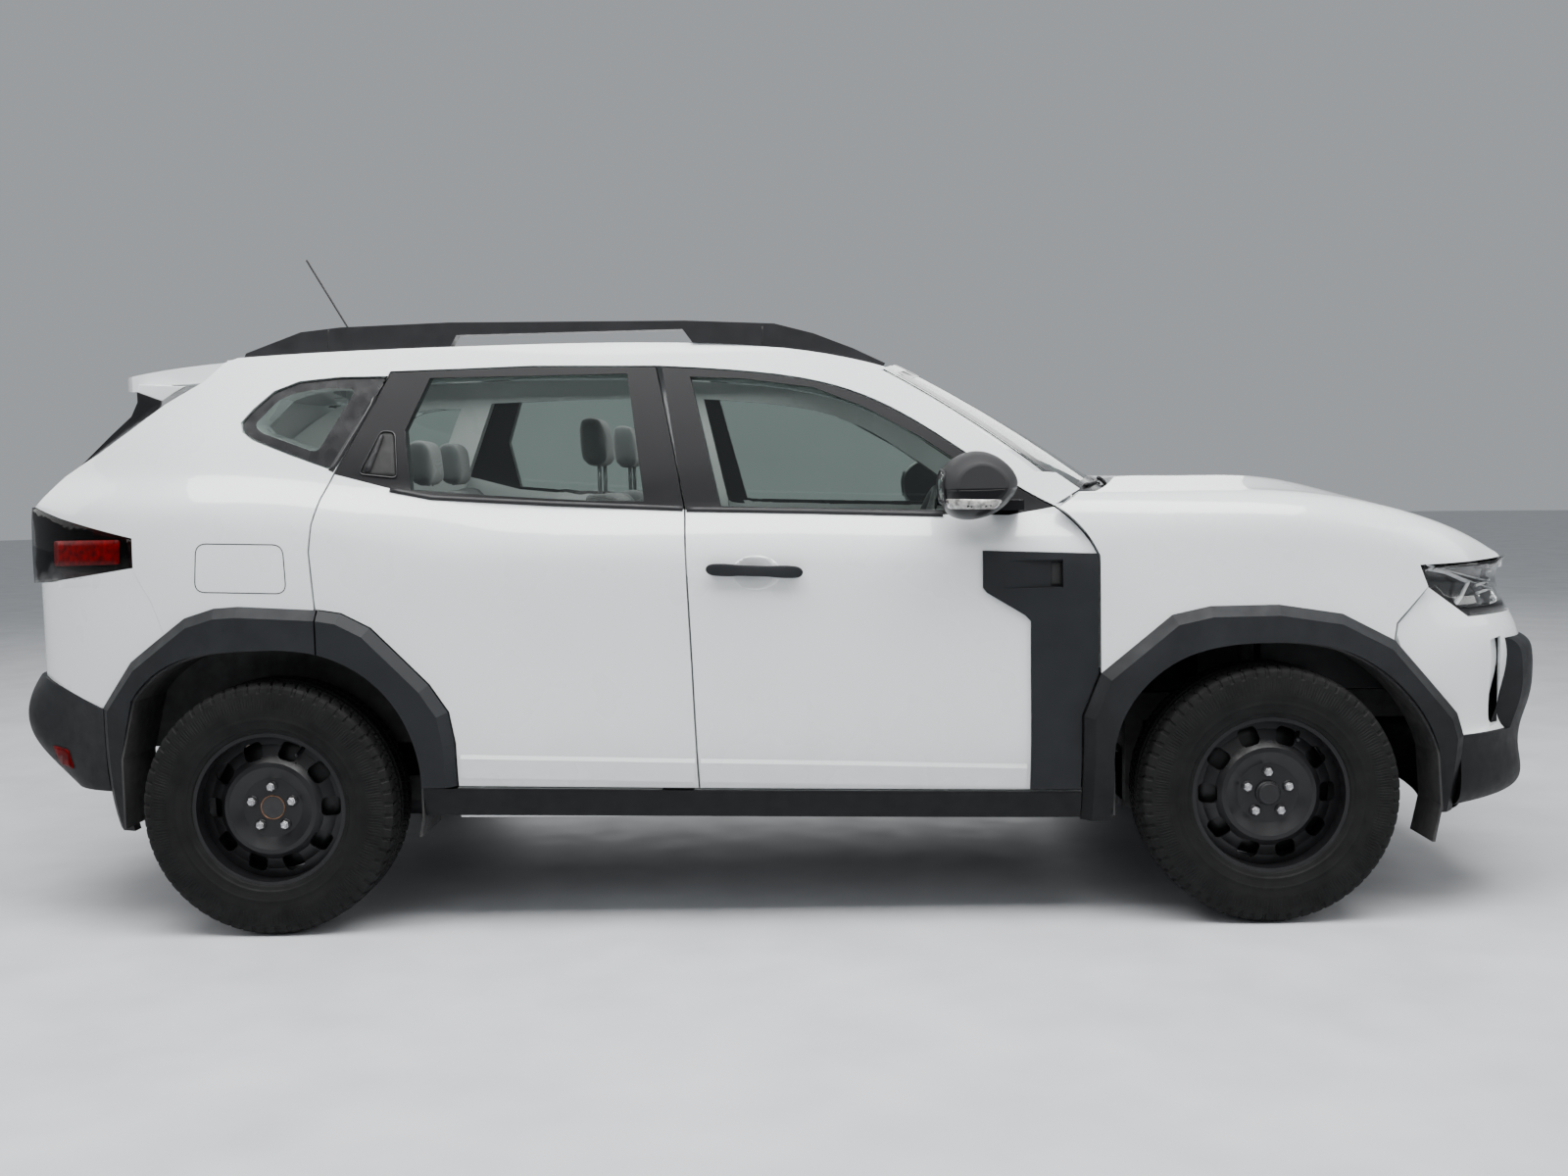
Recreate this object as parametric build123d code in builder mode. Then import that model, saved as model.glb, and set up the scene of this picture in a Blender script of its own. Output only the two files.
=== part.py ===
# Compact five-door sport utility vehicle as an assembly of separate pieces.
# +X forward, +Y left, +Z up, ground at z = 0, millimetres.
import os
from math import cos, exp, hypot, radians, sin, tan

from build123d import *

os.makedirs("parts", exist_ok=True)

# Main sizes
WHEELBASE = 2657.0
FRONT_OVERHANG = 866.0
REAR_OVERHANG = 820.0
TRACK = 1570.0
DOOR_HALF_WIDTH = 868.0
BELT_Z = 1120.0
ROOF_Z = 1581.0
SILL_Z = 372.0
TUMBLEHOME = 0.41

# Wheels
TYRE_DIAMETER = 686.0
TYRE_WIDTH = 215.0
BEAD_DIAMETER = 406.0
RIM_WIDTH = 178.0
RIM_LIP = 17.0
RIM_WALL = 7.0
WHEEL_OFFSET = 50.0
HUB_BORE = 66.0
HUB_FLANGE = 140.0
VENT_COUNT = 10
VENT_CIRCLE = 314.0
VENT_WIDTH = 52.0
VENT_HEIGHT = 46.0
KINGPIN_LEAN = 13.0

# Walls and clearances
SHUT_GAP = 5.0
DOOR_DEPTH = 74.0
FRAME_DEPTH = 44.0
FLANGE_GAP = 6.0
SIDE_DEPTH = 130.0
FLANGE_LAP = 30.0
HINGE_LEAF = 30.0
SWING_ROOM = 6.0
PANEL = 22.0
GLASS = 5.0
GLASS_INSET = 9.0
CLADDING_PROUD = 28.0
CLADDING_DEPTH = 11.0
ARCH_BEVEL = 26.0
ARCH_CLEARANCE = 62.0
LINER = 6.0
SEAM = 0.8
SEAT = 0.3

# Lines along the body
FRONT_AXLE_X = WHEELBASE / 2 - 23.0
REAR_AXLE_X = FRONT_AXLE_X - WHEELBASE
NOSE_X = FRONT_AXLE_X + FRONT_OVERHANG
TAIL_X = REAR_AXLE_X - REAR_OVERHANG
FRONT_SHUT_X = FRONT_AXLE_X - 443.0
B_SHUT_X = -201.0
REAR_SHUT_X = REAR_AXLE_X + 133.0
HUB_Z = TYRE_DIAMETER / 2
WHEEL_Y = TRACK / 2
F = FRONT_AXLE_X
R = REAR_AXLE_X
B = B_SHUT_X
FAR = 1400.0


def save(piece, name):
    piece.label = name
    export_step(piece, f"parts/{name}.step")


def pair(piece):
    # A right-hand piece and its left-hand mirror image
    with BuildPart() as both:
        add(piece)
        mirror(about=Plane.XZ)
    return both.part


def mirrored(piece):
    with BuildPart() as other:
        mirror(piece, about=Plane.XZ, mode=Mode.ADD)
    return other.part


# Surface of the cabin side
def belt_height(x):
    rise = max(0.0, B - 400 - x)
    return BELT_Z - 0.025 * (x - B) + min(0.00022 * rise ** 2, 80.0)


def roof_edge(x):
    ahead = max(0.0, x + 600) / 910
    behind = max(0.0, -600 - x) / 856
    return ROOF_Z - 80 * ahead ** 3.4 - 24 * behind ** 2


def plan_drop(x):
    ahead = max(0.0, x - 300) / 600
    behind = max(0.0, R + 51 - x) / 700
    return 12 * ahead ** 2 + 180 * behind ** 3.2


def haunch(x, z):
    near_rear = exp(-((x - R) / 380) ** 2)
    near_front = exp(-((x - F) / 330) ** 2)
    return 10.5 * max(near_rear, near_front) * exp(-((z - 700) / 330) ** 2)


def side_y(x, z):
    belt = belt_height(x)
    steps = [(270, -70), (SILL_Z, -28), (SILL_Z + 88, -10), (700, -6), (belt - 165, 0), (belt - 78, -14)]
    steps += [(belt, -60), (belt + 600, -60 - 600 * TUMBLEHOME)]
    low = steps[0]
    for high in steps[1:]:
        if z <= high[0]:
            break
        low = high
    share = (z - low[0]) / (high[0] - low[0])
    inset = low[1] + share * (high[1] - low[1])
    return DOOR_HALF_WIDTH + inset - plan_drop(x) + haunch(x, z)


def side_levels(x):
    belt = belt_height(x)
    lower = [270, SILL_Z, SILL_Z + 88, 700, belt - 165, belt - 78, belt, belt + 40]
    return lower + [(belt + ROOF_Z) / 2, ROOF_Z - 60, ROOF_Z + 4]


SIDE_STATIONS = [R - 745, R - 640, R - 500, R - 280, R - 60, R + 250, R + 700, B, B + 500, B + 850, F - 390]


def side_slab(outer, inner):
    # Wall of the right side between two depths below the outer skin
    with BuildPart() as slab:
        for x in SIDE_STATIONS:
            levels = side_levels(x)
            with BuildSketch(Plane.YZ.offset(x)):
                with BuildLine():
                    skin = Spline(*[(outer - side_y(x, z), z) for z in levels])
                    lining = Spline(*[(inner - side_y(x, z), z) for z in levels])
                    Line(skin @ 0, lining @ 0)
                    Line(skin @ 1, lining @ 1)
                make_face()
        loft()
    return slab.part


# Surface of the front wing
def crease_z(x):
    return BELT_Z + 27 - 190 * (max(0.0, x - F + 155) / 850) ** 2.4


def crease_y(x):
    nose = max(0.0, x - F - 395) / 295
    return DOOR_HALF_WIDTH - 116 - 0.09 * (x - FRONT_SHUT_X + 32) - 50 * nose ** 2


def wing_section(x, depth):
    nose = max(0.0, x - F - 395) / 295
    low = DOOR_HALF_WIDTH - 50 * (max(0.0, x - F + 405) / 920) ** 2 + haunch(x, 700)
    high = DOOR_HALF_WIDTH - plan_drop(x) + haunch(x, 700) + 6 - 125 * nose ** 2.2
    top = crease_z(x)
    edge = crease_y(x)
    points = [(edge, top - depth)]
    points += [(edge + 0.55 * (high - edge) - 0.4 * depth, top - 14 - 0.9 * depth)]
    points += [(high - 16 - 0.8 * depth, top - 62 - 0.5 * depth), (high - depth, top - 150)]
    points += [(low - depth, 700), (low - 2 - depth, SILL_Z + 88)]
    points += [(low - 28 - depth, SILL_Z), (low - 70 - depth, 270)]
    return [(-y, z) for y, z in points]


WING_STATIONS = [FRONT_SHUT_X - 115, F - 445, F - 305, F - 145, F, F + 145, F + 295]
WING_STATIONS += [F + 445, F + 575, F + 690]


def wing_slab(outer, inner):
    with BuildPart() as slab:
        for x in WING_STATIONS:
            with BuildSketch(Plane.YZ.offset(x)):
                with BuildLine():
                    skin = Spline(*wing_section(x, outer))
                    lining = Spline(*wing_section(x, inner))
                    Line(skin @ 0, lining @ 0)
                    Line(skin @ 1, lining @ 1)
                make_face()
        loft()
    return slab.part


# Outlines seen from the side, as runs of points joined by curves or straight lines
def grown(runs, amount):
    # The same runs with every corner moved outwards by the same clearance
    corners = []
    for point in [point for _, points in runs for point in points]:
        if point not in corners[-1:]:
            corners.append(point)
    if corners[0] == corners[-1]:
        corners.pop()
    steps = [Vector(*b) - Vector(*a) for a, b in zip(corners, corners[1:] + corners[:1])]
    turn = sum(a[0] * b[1] - a[1] * b[0] for a, b in zip(corners, corners[1:] + corners[:1]))
    side = amount if turn > 0 else -amount
    normals = [Vector(d.Y, -d.X).normalized() for d in steps]
    moved = {}
    for corner, before, after in zip(corners, normals[-1:] + normals[:-1], normals):
        shift = (before + after) * (side / (1 + before.dot(after)))
        moved[(round(corner[0], 2), round(corner[1], 2))] = (corner[0] + shift.X, corner[1] + shift.Y)
    return [(kind, [moved[(round(x, 2), round(z, 2))] for x, z in points]) for kind, points in runs]


def outline(*runs):
    ends = []
    for kind, points in runs:
        if len(points) > 1:
            curve = Spline(*points) if kind == "curve" else Polyline(*points)
        ends.append((Vector(*points[0]), Vector(*points[-1])))
    for here, after in zip(ends, ends[1:] + ends[:1]):
        if (here[1] - after[0]).length > 0.01:
            Line(here[1], after[0])


def side_prism(runs, grow=0.0, near=0.0, far=FAR):
    # Outline pushed sideways through the right side of the body
    with BuildPart() as prism:
        with BuildSketch(Plane.XZ.offset(near)):
            with BuildLine():
                outline(*grown(runs, grow))
            make_face()
        extrude(amount=far - near)
    return prism.part


def side_cut(block, keep=(), drop=()):
    # What is left of a block inside some prisms and outside others
    with BuildPart() as piece:
        add(block)
        for prism in keep:
            add(prism, mode=Mode.INTERSECT)
        for prism in drop:
            add(prism, mode=Mode.SUBTRACT)
    return piece.part


ARCH_SCALE = (HUB_Z + ARCH_CLEARANCE) / 405


def arch_points(axle, points):
    return [(axle + x * ARCH_SCALE, HUB_Z + z * ARCH_SCALE) for x, z in points]


FRONT_ARCH_OPEN = [
    ("curve", arch_points(F, [(-408, 60), (-364, 257), (-236, 366), (-18, 405), (207, 373), (364, 257),
                              (450, 100)])),
    ("line", [(F + 470, 150), (F + 470, 100), (F - 410, 100)]),
]
FRONT_ARCH_EDGE = [
    ("line", arch_points(F, [(-487, 0), (-487, 217), (-441, 329), (-255, 479), (-155, 500), (25, 500)])),
    ("line", arch_points(F, [(195, 472), (335, 399), (501, 203), (522, 141)])),
    ("line", [(F + 522, 100), (F - 487, 100)]),
]
REAR_ARCH_OPEN = [
    ("curve", arch_points(R, [(411, 40), (403, 157), (320, 313), (168, 410), (-40, 429), (-229, 402),
                              (-364, 296)])),
    ("line", arch_points(R, [(-404, 135)]) + [(R - 404, 100), (R + 411, 100)]),
]
REAR_ARCH_EDGE = [
    ("line", arch_points(R, [(502, 40), (502, 169), (487, 253), (438, 327), (288, 481), (212, 521),
                             (152, 531)])),
    ("line", arch_points(R, [(-60, 544), (-126, 540), (-208, 515), (-372, 396), (-466, 274)])),
    ("line", [(R - 466, 100), (R + 502, 100)]),
]
BELT_LINE = [(R + 51, belt_height(R + 51) + 36), (R + 187, BELT_Z + 113), (R + 392, BELT_Z + 57)]
BELT_LINE += [(B - 547, BELT_Z + 34), (B - 24, BELT_Z + 1), (B + 395, BELT_Z - 17), (F - 673, BELT_Z - 30)]
BELT_LINE += [(FRONT_SHUT_X - 105, BELT_Z - 10), (F - 405, BELT_Z + 40)]
ABOVE_BELT = [("line", BELT_LINE + [(F - 405, ROOF_Z + 100), (R + 51, ROOF_Z + 100)])]
WING_CURVE = [(FRONT_SHUT_X - 105, BELT_Z - 10), (FRONT_SHUT_X - 24, BELT_Z - 95)]
WING_CURVE += [(FRONT_SHUT_X, BELT_Z - 140)]
FRONT_DOOR = [
    ("curve", [(B - 101, ROOF_Z - 69), (B + 163, ROOF_Z - 91), (B + 429, ROOF_Z - 149),
               (B + 663, ROOF_Z - 278), (FRONT_SHUT_X - 199, BELT_Z + 43), WING_CURVE[0]]),
    ("curve", WING_CURVE),
    ("line", WING_CURVE[-1:] + arch_points(F, [(-443, 329), (-489, 217)])
     + [(F - 489 * ARCH_SCALE, SILL_Z - 18), (B, SILL_Z + 4), (B - 25, BELT_Z + 1), (B - 101, ROOF_Z - 69)]),
]
REAR_DOOR = [
    ("line", [(B - 101, ROOF_Z - 69), (B - 25, BELT_Z + 1), (B, SILL_Z + 4)]),
    ("line", [(R + 504 * ARCH_SCALE, SILL_Z + 20)]
     + arch_points(R, [(504, 169), (489, 253), (440, 327), (290, 481), (214, 521), (144, 533)])),
    ("line", [(REAR_SHUT_X, BELT_Z - 90), (REAR_SHUT_X + 8, BELT_Z - 20), (REAR_SHUT_X + 27, BELT_Z + 50)]),
    ("line", [(R + 187, BELT_Z + 114), (R + 317, ROOF_Z - 71), (B - 444, ROOF_Z - 62),
              (B - 101, ROOF_Z - 69)]),
]
ARCH_RIM_R = 475 * ARCH_SCALE
ARCH_SHUT_X = REAR_SHUT_X + 17
DOOR_ARCH = [("line", [(ARCH_SHUT_X, 1100), (R + 600, 1100), (R + 600, SILL_Z + 20),
                       (ARCH_SHUT_X, SILL_Z + 20)])]
BODY_ARCH = [("line", [(ARCH_SHUT_X, 1100), (R - 900, 1100), (R - 900, 200), (ARCH_SHUT_X, 200)])]
CLADDING = [
    ("line", [(F - 747, BELT_Z - 121), (FRONT_SHUT_X - 3, BELT_Z - 134)]
     + arch_points(F, [(-446, 329), (-492, 217)])
     + [(F - 492 * ARCH_SCALE, SILL_Z - 14), (F - 625, SILL_Z - 11)]
     + [(F - 623, BELT_Z - 308), (F - 638, BELT_Z - 292), (F - 738, BELT_Z - 231), (F - 748, BELT_Z - 218)]),
]
FRONT_HANDLE = [("line", [(B + 44, BELT_Z - 166), (B + 276, BELT_Z - 178), (B + 276, BELT_Z - 156),
                          (B + 44, BELT_Z - 144)])]
FRONT_GLASS = [
    ("line", [(B - 15, ROOF_Z - 99), (B + 135, ROOF_Z - 108), (B + 323, ROOF_Z - 136),
              (B + 455, ROOF_Z - 190), (B + 611, ROOF_Z - 278), (F - 740, BELT_Z + 74),
              (F - 740, BELT_Z - 17), (B + 70, BELT_Z + 7)]),
]
REAR_GLASS = [
    ("line", [(R + 424, ROOF_Z - 89), (B - 187, ROOF_Z - 87), (B - 134, BELT_Z + 25), (B - 284, BELT_Z + 29),
              (B - 547, BELT_Z + 47), (R + 391, BELT_Z + 67), (R + 366, BELT_Z + 227)]),
]
QUARTER_GLASS = [
    ("line", [(R + 310, ROOF_Z - 82), (R + 179, ROOF_Z - 82), (R + 71, ROOF_Z - 92), (R + 5, ROOF_Z - 118),
              (R - 47, ROOF_Z - 166), (R - 78, ROOF_Z - 204), (R - 70, BELT_Z + 230), (R - 40, BELT_Z + 208),
              (R + 64, BELT_Z + 166), (R + 178, BELT_Z + 124)]),
]
QUARTER_CLEAR = [
    ("line", [(R + 225, ROOF_Z - 115), (R + 136, ROOF_Z - 113), (R + 61, ROOF_Z - 124),
              (R + 19, ROOF_Z - 141), (R - 42, ROOF_Z - 210), (R - 21, BELT_Z + 229),
              (R + 135, BELT_Z + 171)]),
]
TAIL_EDGE = [(R - 140, ROOF_Z - 37), (R - 191, ROOF_Z - 87), (R - 295, ROOF_Z - 147), (R - 395, ROOF_Z - 218)]
TAIL_EDGE += [(R - 485, BELT_Z + 183), (R - 605, BELT_Z + 121), (R - 662, BELT_Z + 80)]
TAIL_EDGE += [(R - 718, BELT_Z + 39)]
LAMP_FRONT_X = R - 350
LAMP_TOP = [(R - 718, BELT_Z + 39), (R - 600, BELT_Z + 9), (LAMP_FRONT_X, BELT_Z - 47)]
LAMP_LOW_Z = BELT_Z - 176
SEAM_LINE = [(LAMP_FRONT_X, BELT_Z - 133), (R - 300, BELT_Z - 219), (R - 270, BELT_Z - 300)]
PILLAR_EDGE = [(F - 474, BELT_Z + 32), (F - 536, BELT_Z + 78), (F - 736, ROOF_Z - 240)]
PILLAR_EDGE += [(F - 864, ROOF_Z - 156)]
SIDE_FRONT_X = F - 410 * ARCH_SCALE
BODY_SIDE = [
    ("line", [(SIDE_FRONT_X, 285), (SIDE_FRONT_X, BELT_Z + 12)] + PILLAR_EDGE),
    ("curve", [(x, roof_edge(x)) for x in (F - 990, 150, -250, -800, R + 140, R - 105)]),
    ("line", TAIL_EDGE + LAMP_TOP[1:] + SEAM_LINE + [(R - 270, 305), (R + 410, 305)]),
]
WING = [
    ("curve", WING_CURVE),
    ("line", WING_CURVE[-1:] + [(FRONT_SHUT_X, 600), (F + 300, 600), (F + 335, HUB_Z + 399)]
     + [(F + 343, BELT_Z - 333), (F + 433, BELT_Z - 240), (F + 412, BELT_Z - 184), (F + 660, BELT_Z - 179)]
     + [(F + 705, BELT_Z - 175), (F + 705, ROOF_Z), (F - 470, ROOF_Z), (F - 470, BELT_Z + 36)]),
]
SILL = [
    ("line", [(R + 412 * ARCH_SCALE, 313), (R + 412 * ARCH_SCALE, SILL_Z + 18), (B, SILL_Z),
              (F - 489 * ARCH_SCALE, SILL_Z - 22), (F - 489 * ARCH_SCALE, 276), (B, 298)]),
]


def bevelled(ring, axle):
    # Arch cladding with the outer rim of its face bevelled
    def on_rim(spot):
        return spot.Z > SILL_Z - 90 and hypot(spot.X - axle, spot.Z - HUB_Z) > ARCH_RIM_R
    with BuildPart() as part:
        add(ring)
        face = part.faces().sort_by(Axis.Y)[0]
        chamfer([edge for edge in face.edges() if on_rim(edge @ 0.5)], length=ARCH_BEVEL)
    return part.part


def upright(x0, x1, z0, z1):
    # Plain rectangle seen from the side
    return [("line", [(x0, z0), (x1, z0), (x1, z1), (x0, z1)])]


# Shared side walls and cutting prisms
side_wall = side_slab(0, SIDE_DEPTH)
door_plug = side_slab(-30, DOOR_DEPTH + FLANGE_GAP)
door_wall = side_slab(0, DOOR_DEPTH)
frame_wall = side_slab(0, FRAME_DEPTH)
glass_wall = side_slab(GLASS_INSET, GLASS_INSET + GLASS)
trim_wall = side_slab(-CLADDING_PROUD, CLADDING_DEPTH)
arch_wall = wing_slab(-CLADDING_PROUD, CLADDING_DEPTH)
front_arch_edge = side_prism(FRONT_ARCH_EDGE)
front_arch_open = side_prism(FRONT_ARCH_OPEN)
rear_arch_edge = side_prism(REAR_ARCH_EDGE)
rear_arch_open = side_prism(REAR_ARCH_OPEN)
front_arch_cut = side_prism(FRONT_ARCH_EDGE, SEAM)
rear_arch_cut = side_prism(REAR_ARCH_EDGE, SEAM)
above_belt = side_prism(ABOVE_BELT)
front_door_shape = side_prism(FRONT_DOOR, -SHUT_GAP / 2)
rear_door_shape = side_prism(REAR_DOOR, -SHUT_GAP / 2)

# Tailgate surface, as plan sections at rising heights
TAIL_ROWS = [
    (BELT_Z - 380, (R - 725, 560), (R - 758, 300), R - 770),
    (BELT_Z - 170, (R - 728, 560), (R - 760, 300), R - 772),
    (BELT_Z - 10, (R - 724, 563), (R - 752, 300), R - 764),
    (BELT_Z + 45, (R - 712, 574), (R - 736, 300), R - 746),
    (BELT_Z + 121, (R - 605, 650), (R - 682, 400), R - 712),
    (BELT_Z + 183, (R - 485, 690), (R - 610, 470), R - 668),
    (ROOF_Z - 147, (R - 295, 682), (R - 455, 480), R - 560),
    (ROOF_Z - 87, (R - 191, 650), (R - 395, 470), R - 512),
]


TAIL_CREASE = 3


def tail_slab(front, back, grow=0.0):
    # Tailgate wall between two depths ahead of its outer skin, below and above the crease under the glass
    halves = []
    for rows in (TAIL_ROWS[:TAIL_CREASE + 1], TAIL_ROWS[TAIL_CREASE:]):
        with BuildPart() as half:
            for z, edge, mid, centre in rows:
                right = [(edge[0], -edge[1] - grow), (mid[0], -mid[1]), (centre, 0)]
                points = right + [(x, -y) for x, y in right[-2::-1]]
                with BuildSketch(Plane.XY.offset(z)):
                    with BuildLine():
                        skin = Spline(*[(x + front, y) for x, y in points])
                        lining = Spline(*[(x + back, y) for x, y in points])
                        Line(skin @ 0, lining @ 0)
                        Line(skin @ 1, lining @ 1)
                    make_face()
            loft()
        halves.append(half.part)
    with BuildPart() as slab:
        for half in halves:
            add(half)
    return slab.part


TAIL_DEPTH = 52.0
GLASS_FOOT_Z = BELT_Z + 84
tail_plug = tail_slab(-30, TAIL_DEPTH + FLANGE_GAP, SHUT_GAP)

# Windscreen surface
SCREEN_HALF_FOOT = 735.0
SCREEN_HALF_HEAD = 613.0
SCREEN_FOOT_X = F - 290.0
SCREEN_HEAD_X = F - 925.0
COWL_HALF = 655.0


def cowl_height(y):
    return BELT_Z + 26 - 30 * (y / SCREEN_HALF_FOOT) ** 2


def screen_slab(outer, inner):
    with BuildPart() as slab:
        for y in (-760, -450, 0, 450, 760):
            foot = SCREEN_FOOT_X - 170 * (y / SCREEN_HALF_FOOT) ** 2
            head = SCREEN_HEAD_X - 60 * (y / SCREEN_HALF_HEAD) ** 2
            head_z = ROOF_Z - 45 - 40 * (y / SCREEN_HALF_HEAD) ** 2
            foot_z = cowl_height(y) + SEAT
            mid = ((foot + head) / 2 + 8, (foot_z + head_z) / 2 + 12)
            with BuildSketch(Plane.XZ.offset(-y)):
                with BuildLine():
                    skin = Spline((foot + outer, foot_z), (mid[0] + outer, mid[1]), (head + outer, head_z))
                    lining = Spline((foot + inner, foot_z), (mid[0] + inner, mid[1]), (head + inner, head_z))
                    Line(skin @ 0, lining @ 0)
                    Line(skin @ 1, lining @ 1)
                make_face()
        loft()
    return slab.part


def front_prism(points, start, reach):
    # Outline seen from the front, pushed along X
    with BuildPart() as prism:
        with BuildSketch(Plane.YZ.offset(start)):
            with BuildLine():
                Polyline(*points, close=True)
            make_face()
        extrude(amount=reach)
    return prism.part


def plan_prism(runs, low, high):
    with BuildPart() as prism:
        with BuildSketch(Plane.XY.offset(low)):
            with BuildLine():
                outline(*runs)
            make_face()
        extrude(amount=high - low)
    return prism.part


# Roof surface between the cant rails
ROOF_CROWN = 32.0
ROOF_WALL = 30.0
ROOF_INSET = 36.0
ROOF_REAR_X = R - 146.0
SPOILER_HALF = 580.0
SPOILER_ROOM = upright(R - 700, ROOF_REAR_X, ROOF_Z - 100, ROOF_Z + 80)


def roof_slab(top, bottom, inset):
    with BuildPart() as slab:
        for x in (F - 880, 300, 100, -250, -800, R + 100, R - 200):
            half = side_y(x, roof_edge(x)) - inset
            edge = roof_edge(x)
            points = [(-1, 0), (-0.6, 0.66), (0, 1), (0.6, 0.66), (1, 0)]
            with BuildSketch(Plane.YZ.offset(x)):
                with BuildLine():
                    skin = Spline(*[(y * half, edge + z * ROOF_CROWN - top) for y, z in points])
                    lining = Spline(*[(y * half, edge + z * ROOF_CROWN - bottom) for y, z in points])
                    Line(skin @ 0, lining @ 0)
                    Line(skin @ 1, lining @ 1)
                make_face()
        loft()
    return slab.part


def head_curve(lead):
    # Front edge of the roof, along the head of the windscreen
    return [(SCREEN_HEAD_X - 60 * (y / SCREEN_HALF_HEAD) ** 2 - lead, y) for y in (-760, -400, 0, 400, 760)]


roof_rear = [(ROOF_REAR_X, 800), (ROOF_REAR_X, -800)]
roof_plan = plan_prism([("curve", head_curve(8)), ("line", roof_rear)], 1200, 1800)
roof_panel = side_cut(roof_slab(0, ROOF_WALL, ROOF_INSET), keep=[roof_plan])
save(roof_panel, "roof_panel")
roof_void = roof_slab(-60, ROOF_WALL + SEAT, ROOF_INSET - SEAM)
roof_seat = roof_slab(-SEAT, ROOF_WALL + 30, ROOF_INSET - SEAT)
screen_void = screen_slab(60, -GLASS - SEAT)

# Bonnet
RIDGE = 24.0
BONNET_REAR = 30.0
BONNET_FRONT_X = NOSE_X - 85.0
BONNET_STATIONS = [F - 470 + 140 * step for step in range(10)]


def bonnet_section(x, depth, gap):
    edge = crease_y(x) - gap
    ridge = RIDGE * min(1.0, max(0.0, (F + 320 - x) / 170))
    heights = [(1.0, 0), (0.9, 9), (0.64, 15 + ridge), (0.42, 20 + 0.45 * ridge), (0, 27 + 0.3 * ridge)]
    half = [(-share * edge, crease_z(x) + rise - depth) for share, rise in heights]
    return half + [(-y, z) for y, z in half[-2::-1]]


def bonnet_slab(top, bottom, gap):
    with BuildPart() as slab:
        for x in BONNET_STATIONS:
            with BuildSketch(Plane.YZ.offset(x)):
                with BuildLine():
                    skin = Spline(*bonnet_section(x, top, gap))
                    lining = Spline(*bonnet_section(x, bottom, gap))
                    Line(skin @ 0, lining @ 0)
                    Line(skin @ 1, lining @ 1)
                make_face()
        loft()
    return slab.part


def bonnet_plan(grow):
    rear_x = SCREEN_FOOT_X + BONNET_REAR - grow
    rear = [(rear_x - 170 * (y / SCREEN_HALF_FOOT) ** 2, y) for y in (-800, -400, 0, 400, 800)]
    shape = [(0, 0), (16, 450), (52, 560), (105, 640), (260, 800)]
    front = [(BONNET_FRONT_X + grow - back, y) for back, y in shape[::-1]]
    front += [(x, -y) for x, y in front[-2::-1]]
    return plan_prism([("curve", rear), ("curve", front)], 700, 1400)


bonnet = side_cut(bonnet_slab(0, PANEL, SHUT_GAP), keep=[bonnet_plan(0)])
save(bonnet, "bonnet")
bonnet_void = side_cut(bonnet_slab(-60, PANEL + SHUT_GAP, -10), keep=[bonnet_plan(SHUT_GAP)])

# Body sides: pillars, cant rail, sill and quarter, with door openings and flanges
front_plug = side_cut(door_plug, keep=[side_prism(FRONT_DOOR, SHUT_GAP / 2)])
rear_plug = side_cut(door_plug, keep=[side_prism(REAR_DOOR, SHUT_GAP / 2)])
sill_void = side_cut(side_slab(-30, DOOR_DEPTH - 10), keep=[side_prism(SILL, SEAM)])
wing_void = side_cut(wing_slab(-40, PANEL + FLANGE_GAP), keep=[side_prism(WING, SHUT_GAP)])
quarter_pocket = side_cut(side_slab(-30, GLASS_INSET + GLASS), keep=[side_prism(QUARTER_GLASS)])
side_drops = [front_plug, rear_plug, sill_void, wing_void, quarter_pocket, front_arch_cut, rear_arch_cut]
side_drops += [side_prism(FRONT_DOOR, -FLANGE_LAP), side_prism(REAR_DOOR, -FLANGE_LAP)]
side_drops += [side_prism(QUARTER_CLEAR), tail_plug, screen_void, roof_void, bonnet_void]
side_drops += [side_prism(SPOILER_ROOM, 0, 0, SPOILER_HALF + SHUT_GAP)]
# Pockets where the hinge ends of the open doors swing in
leaf_room = side_slab(-30, HINGE_LEAF + 26)
leaf_window = side_prism(upright(FRONT_SHUT_X - 20, FRONT_SHUT_X + 16, SILL_Z + 45, BELT_Z - 110))
side_drops += [side_cut(leaf_room, keep=[leaf_window])]
side_drops += [side_prism(upright(FRONT_SHUT_X - 60, FRONT_SHUT_X - 15, SILL_Z + 45, BELT_Z - 80))]
side_drops += [side_prism(upright(B - 60, B - 14, SILL_Z + 45, BELT_Z - 100))]
side_drops += [side_prism(upright(B - 100, B - 14, SILL_Z - 4, SILL_Z + 50))]
# Seal strips on the flanges, where the closed doors and tailgate rest
seal_wall = side_slab(DOOR_DEPTH + SEAT, DOOR_DEPTH + FLANGE_GAP + 6)
front_seal = upright(B - 1, B + 7, SILL_Z + 110, BELT_Z - 120)
rear_seal = upright(REAR_SHUT_X + 18, REAR_SHUT_X + 27, BELT_Z - 200, BELT_Z - 30)
tail_seal = [(-655, BELT_Z + 140), (-605, BELT_Z + 140), (-605, BELT_Z + 230), (-655, BELT_Z + 230)]
tail_seal_wall = tail_slab(TAIL_DEPTH + SEAT, TAIL_DEPTH + FLANGE_GAP + 6)
with BuildPart() as body_side:
    add(side_cut(side_wall, keep=[side_prism(BODY_SIDE)], drop=side_drops))
    add(side_cut(seal_wall, keep=[side_prism(front_seal)]))
    add(side_cut(seal_wall, keep=[side_prism(rear_seal)]))
    add(side_cut(tail_seal_wall, keep=[front_prism(tail_seal, TAIL_X - 100, 1200)]))
save(body_side.part, "body_side_right")
save(mirrored(body_side.part), "body_side_left")

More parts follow.
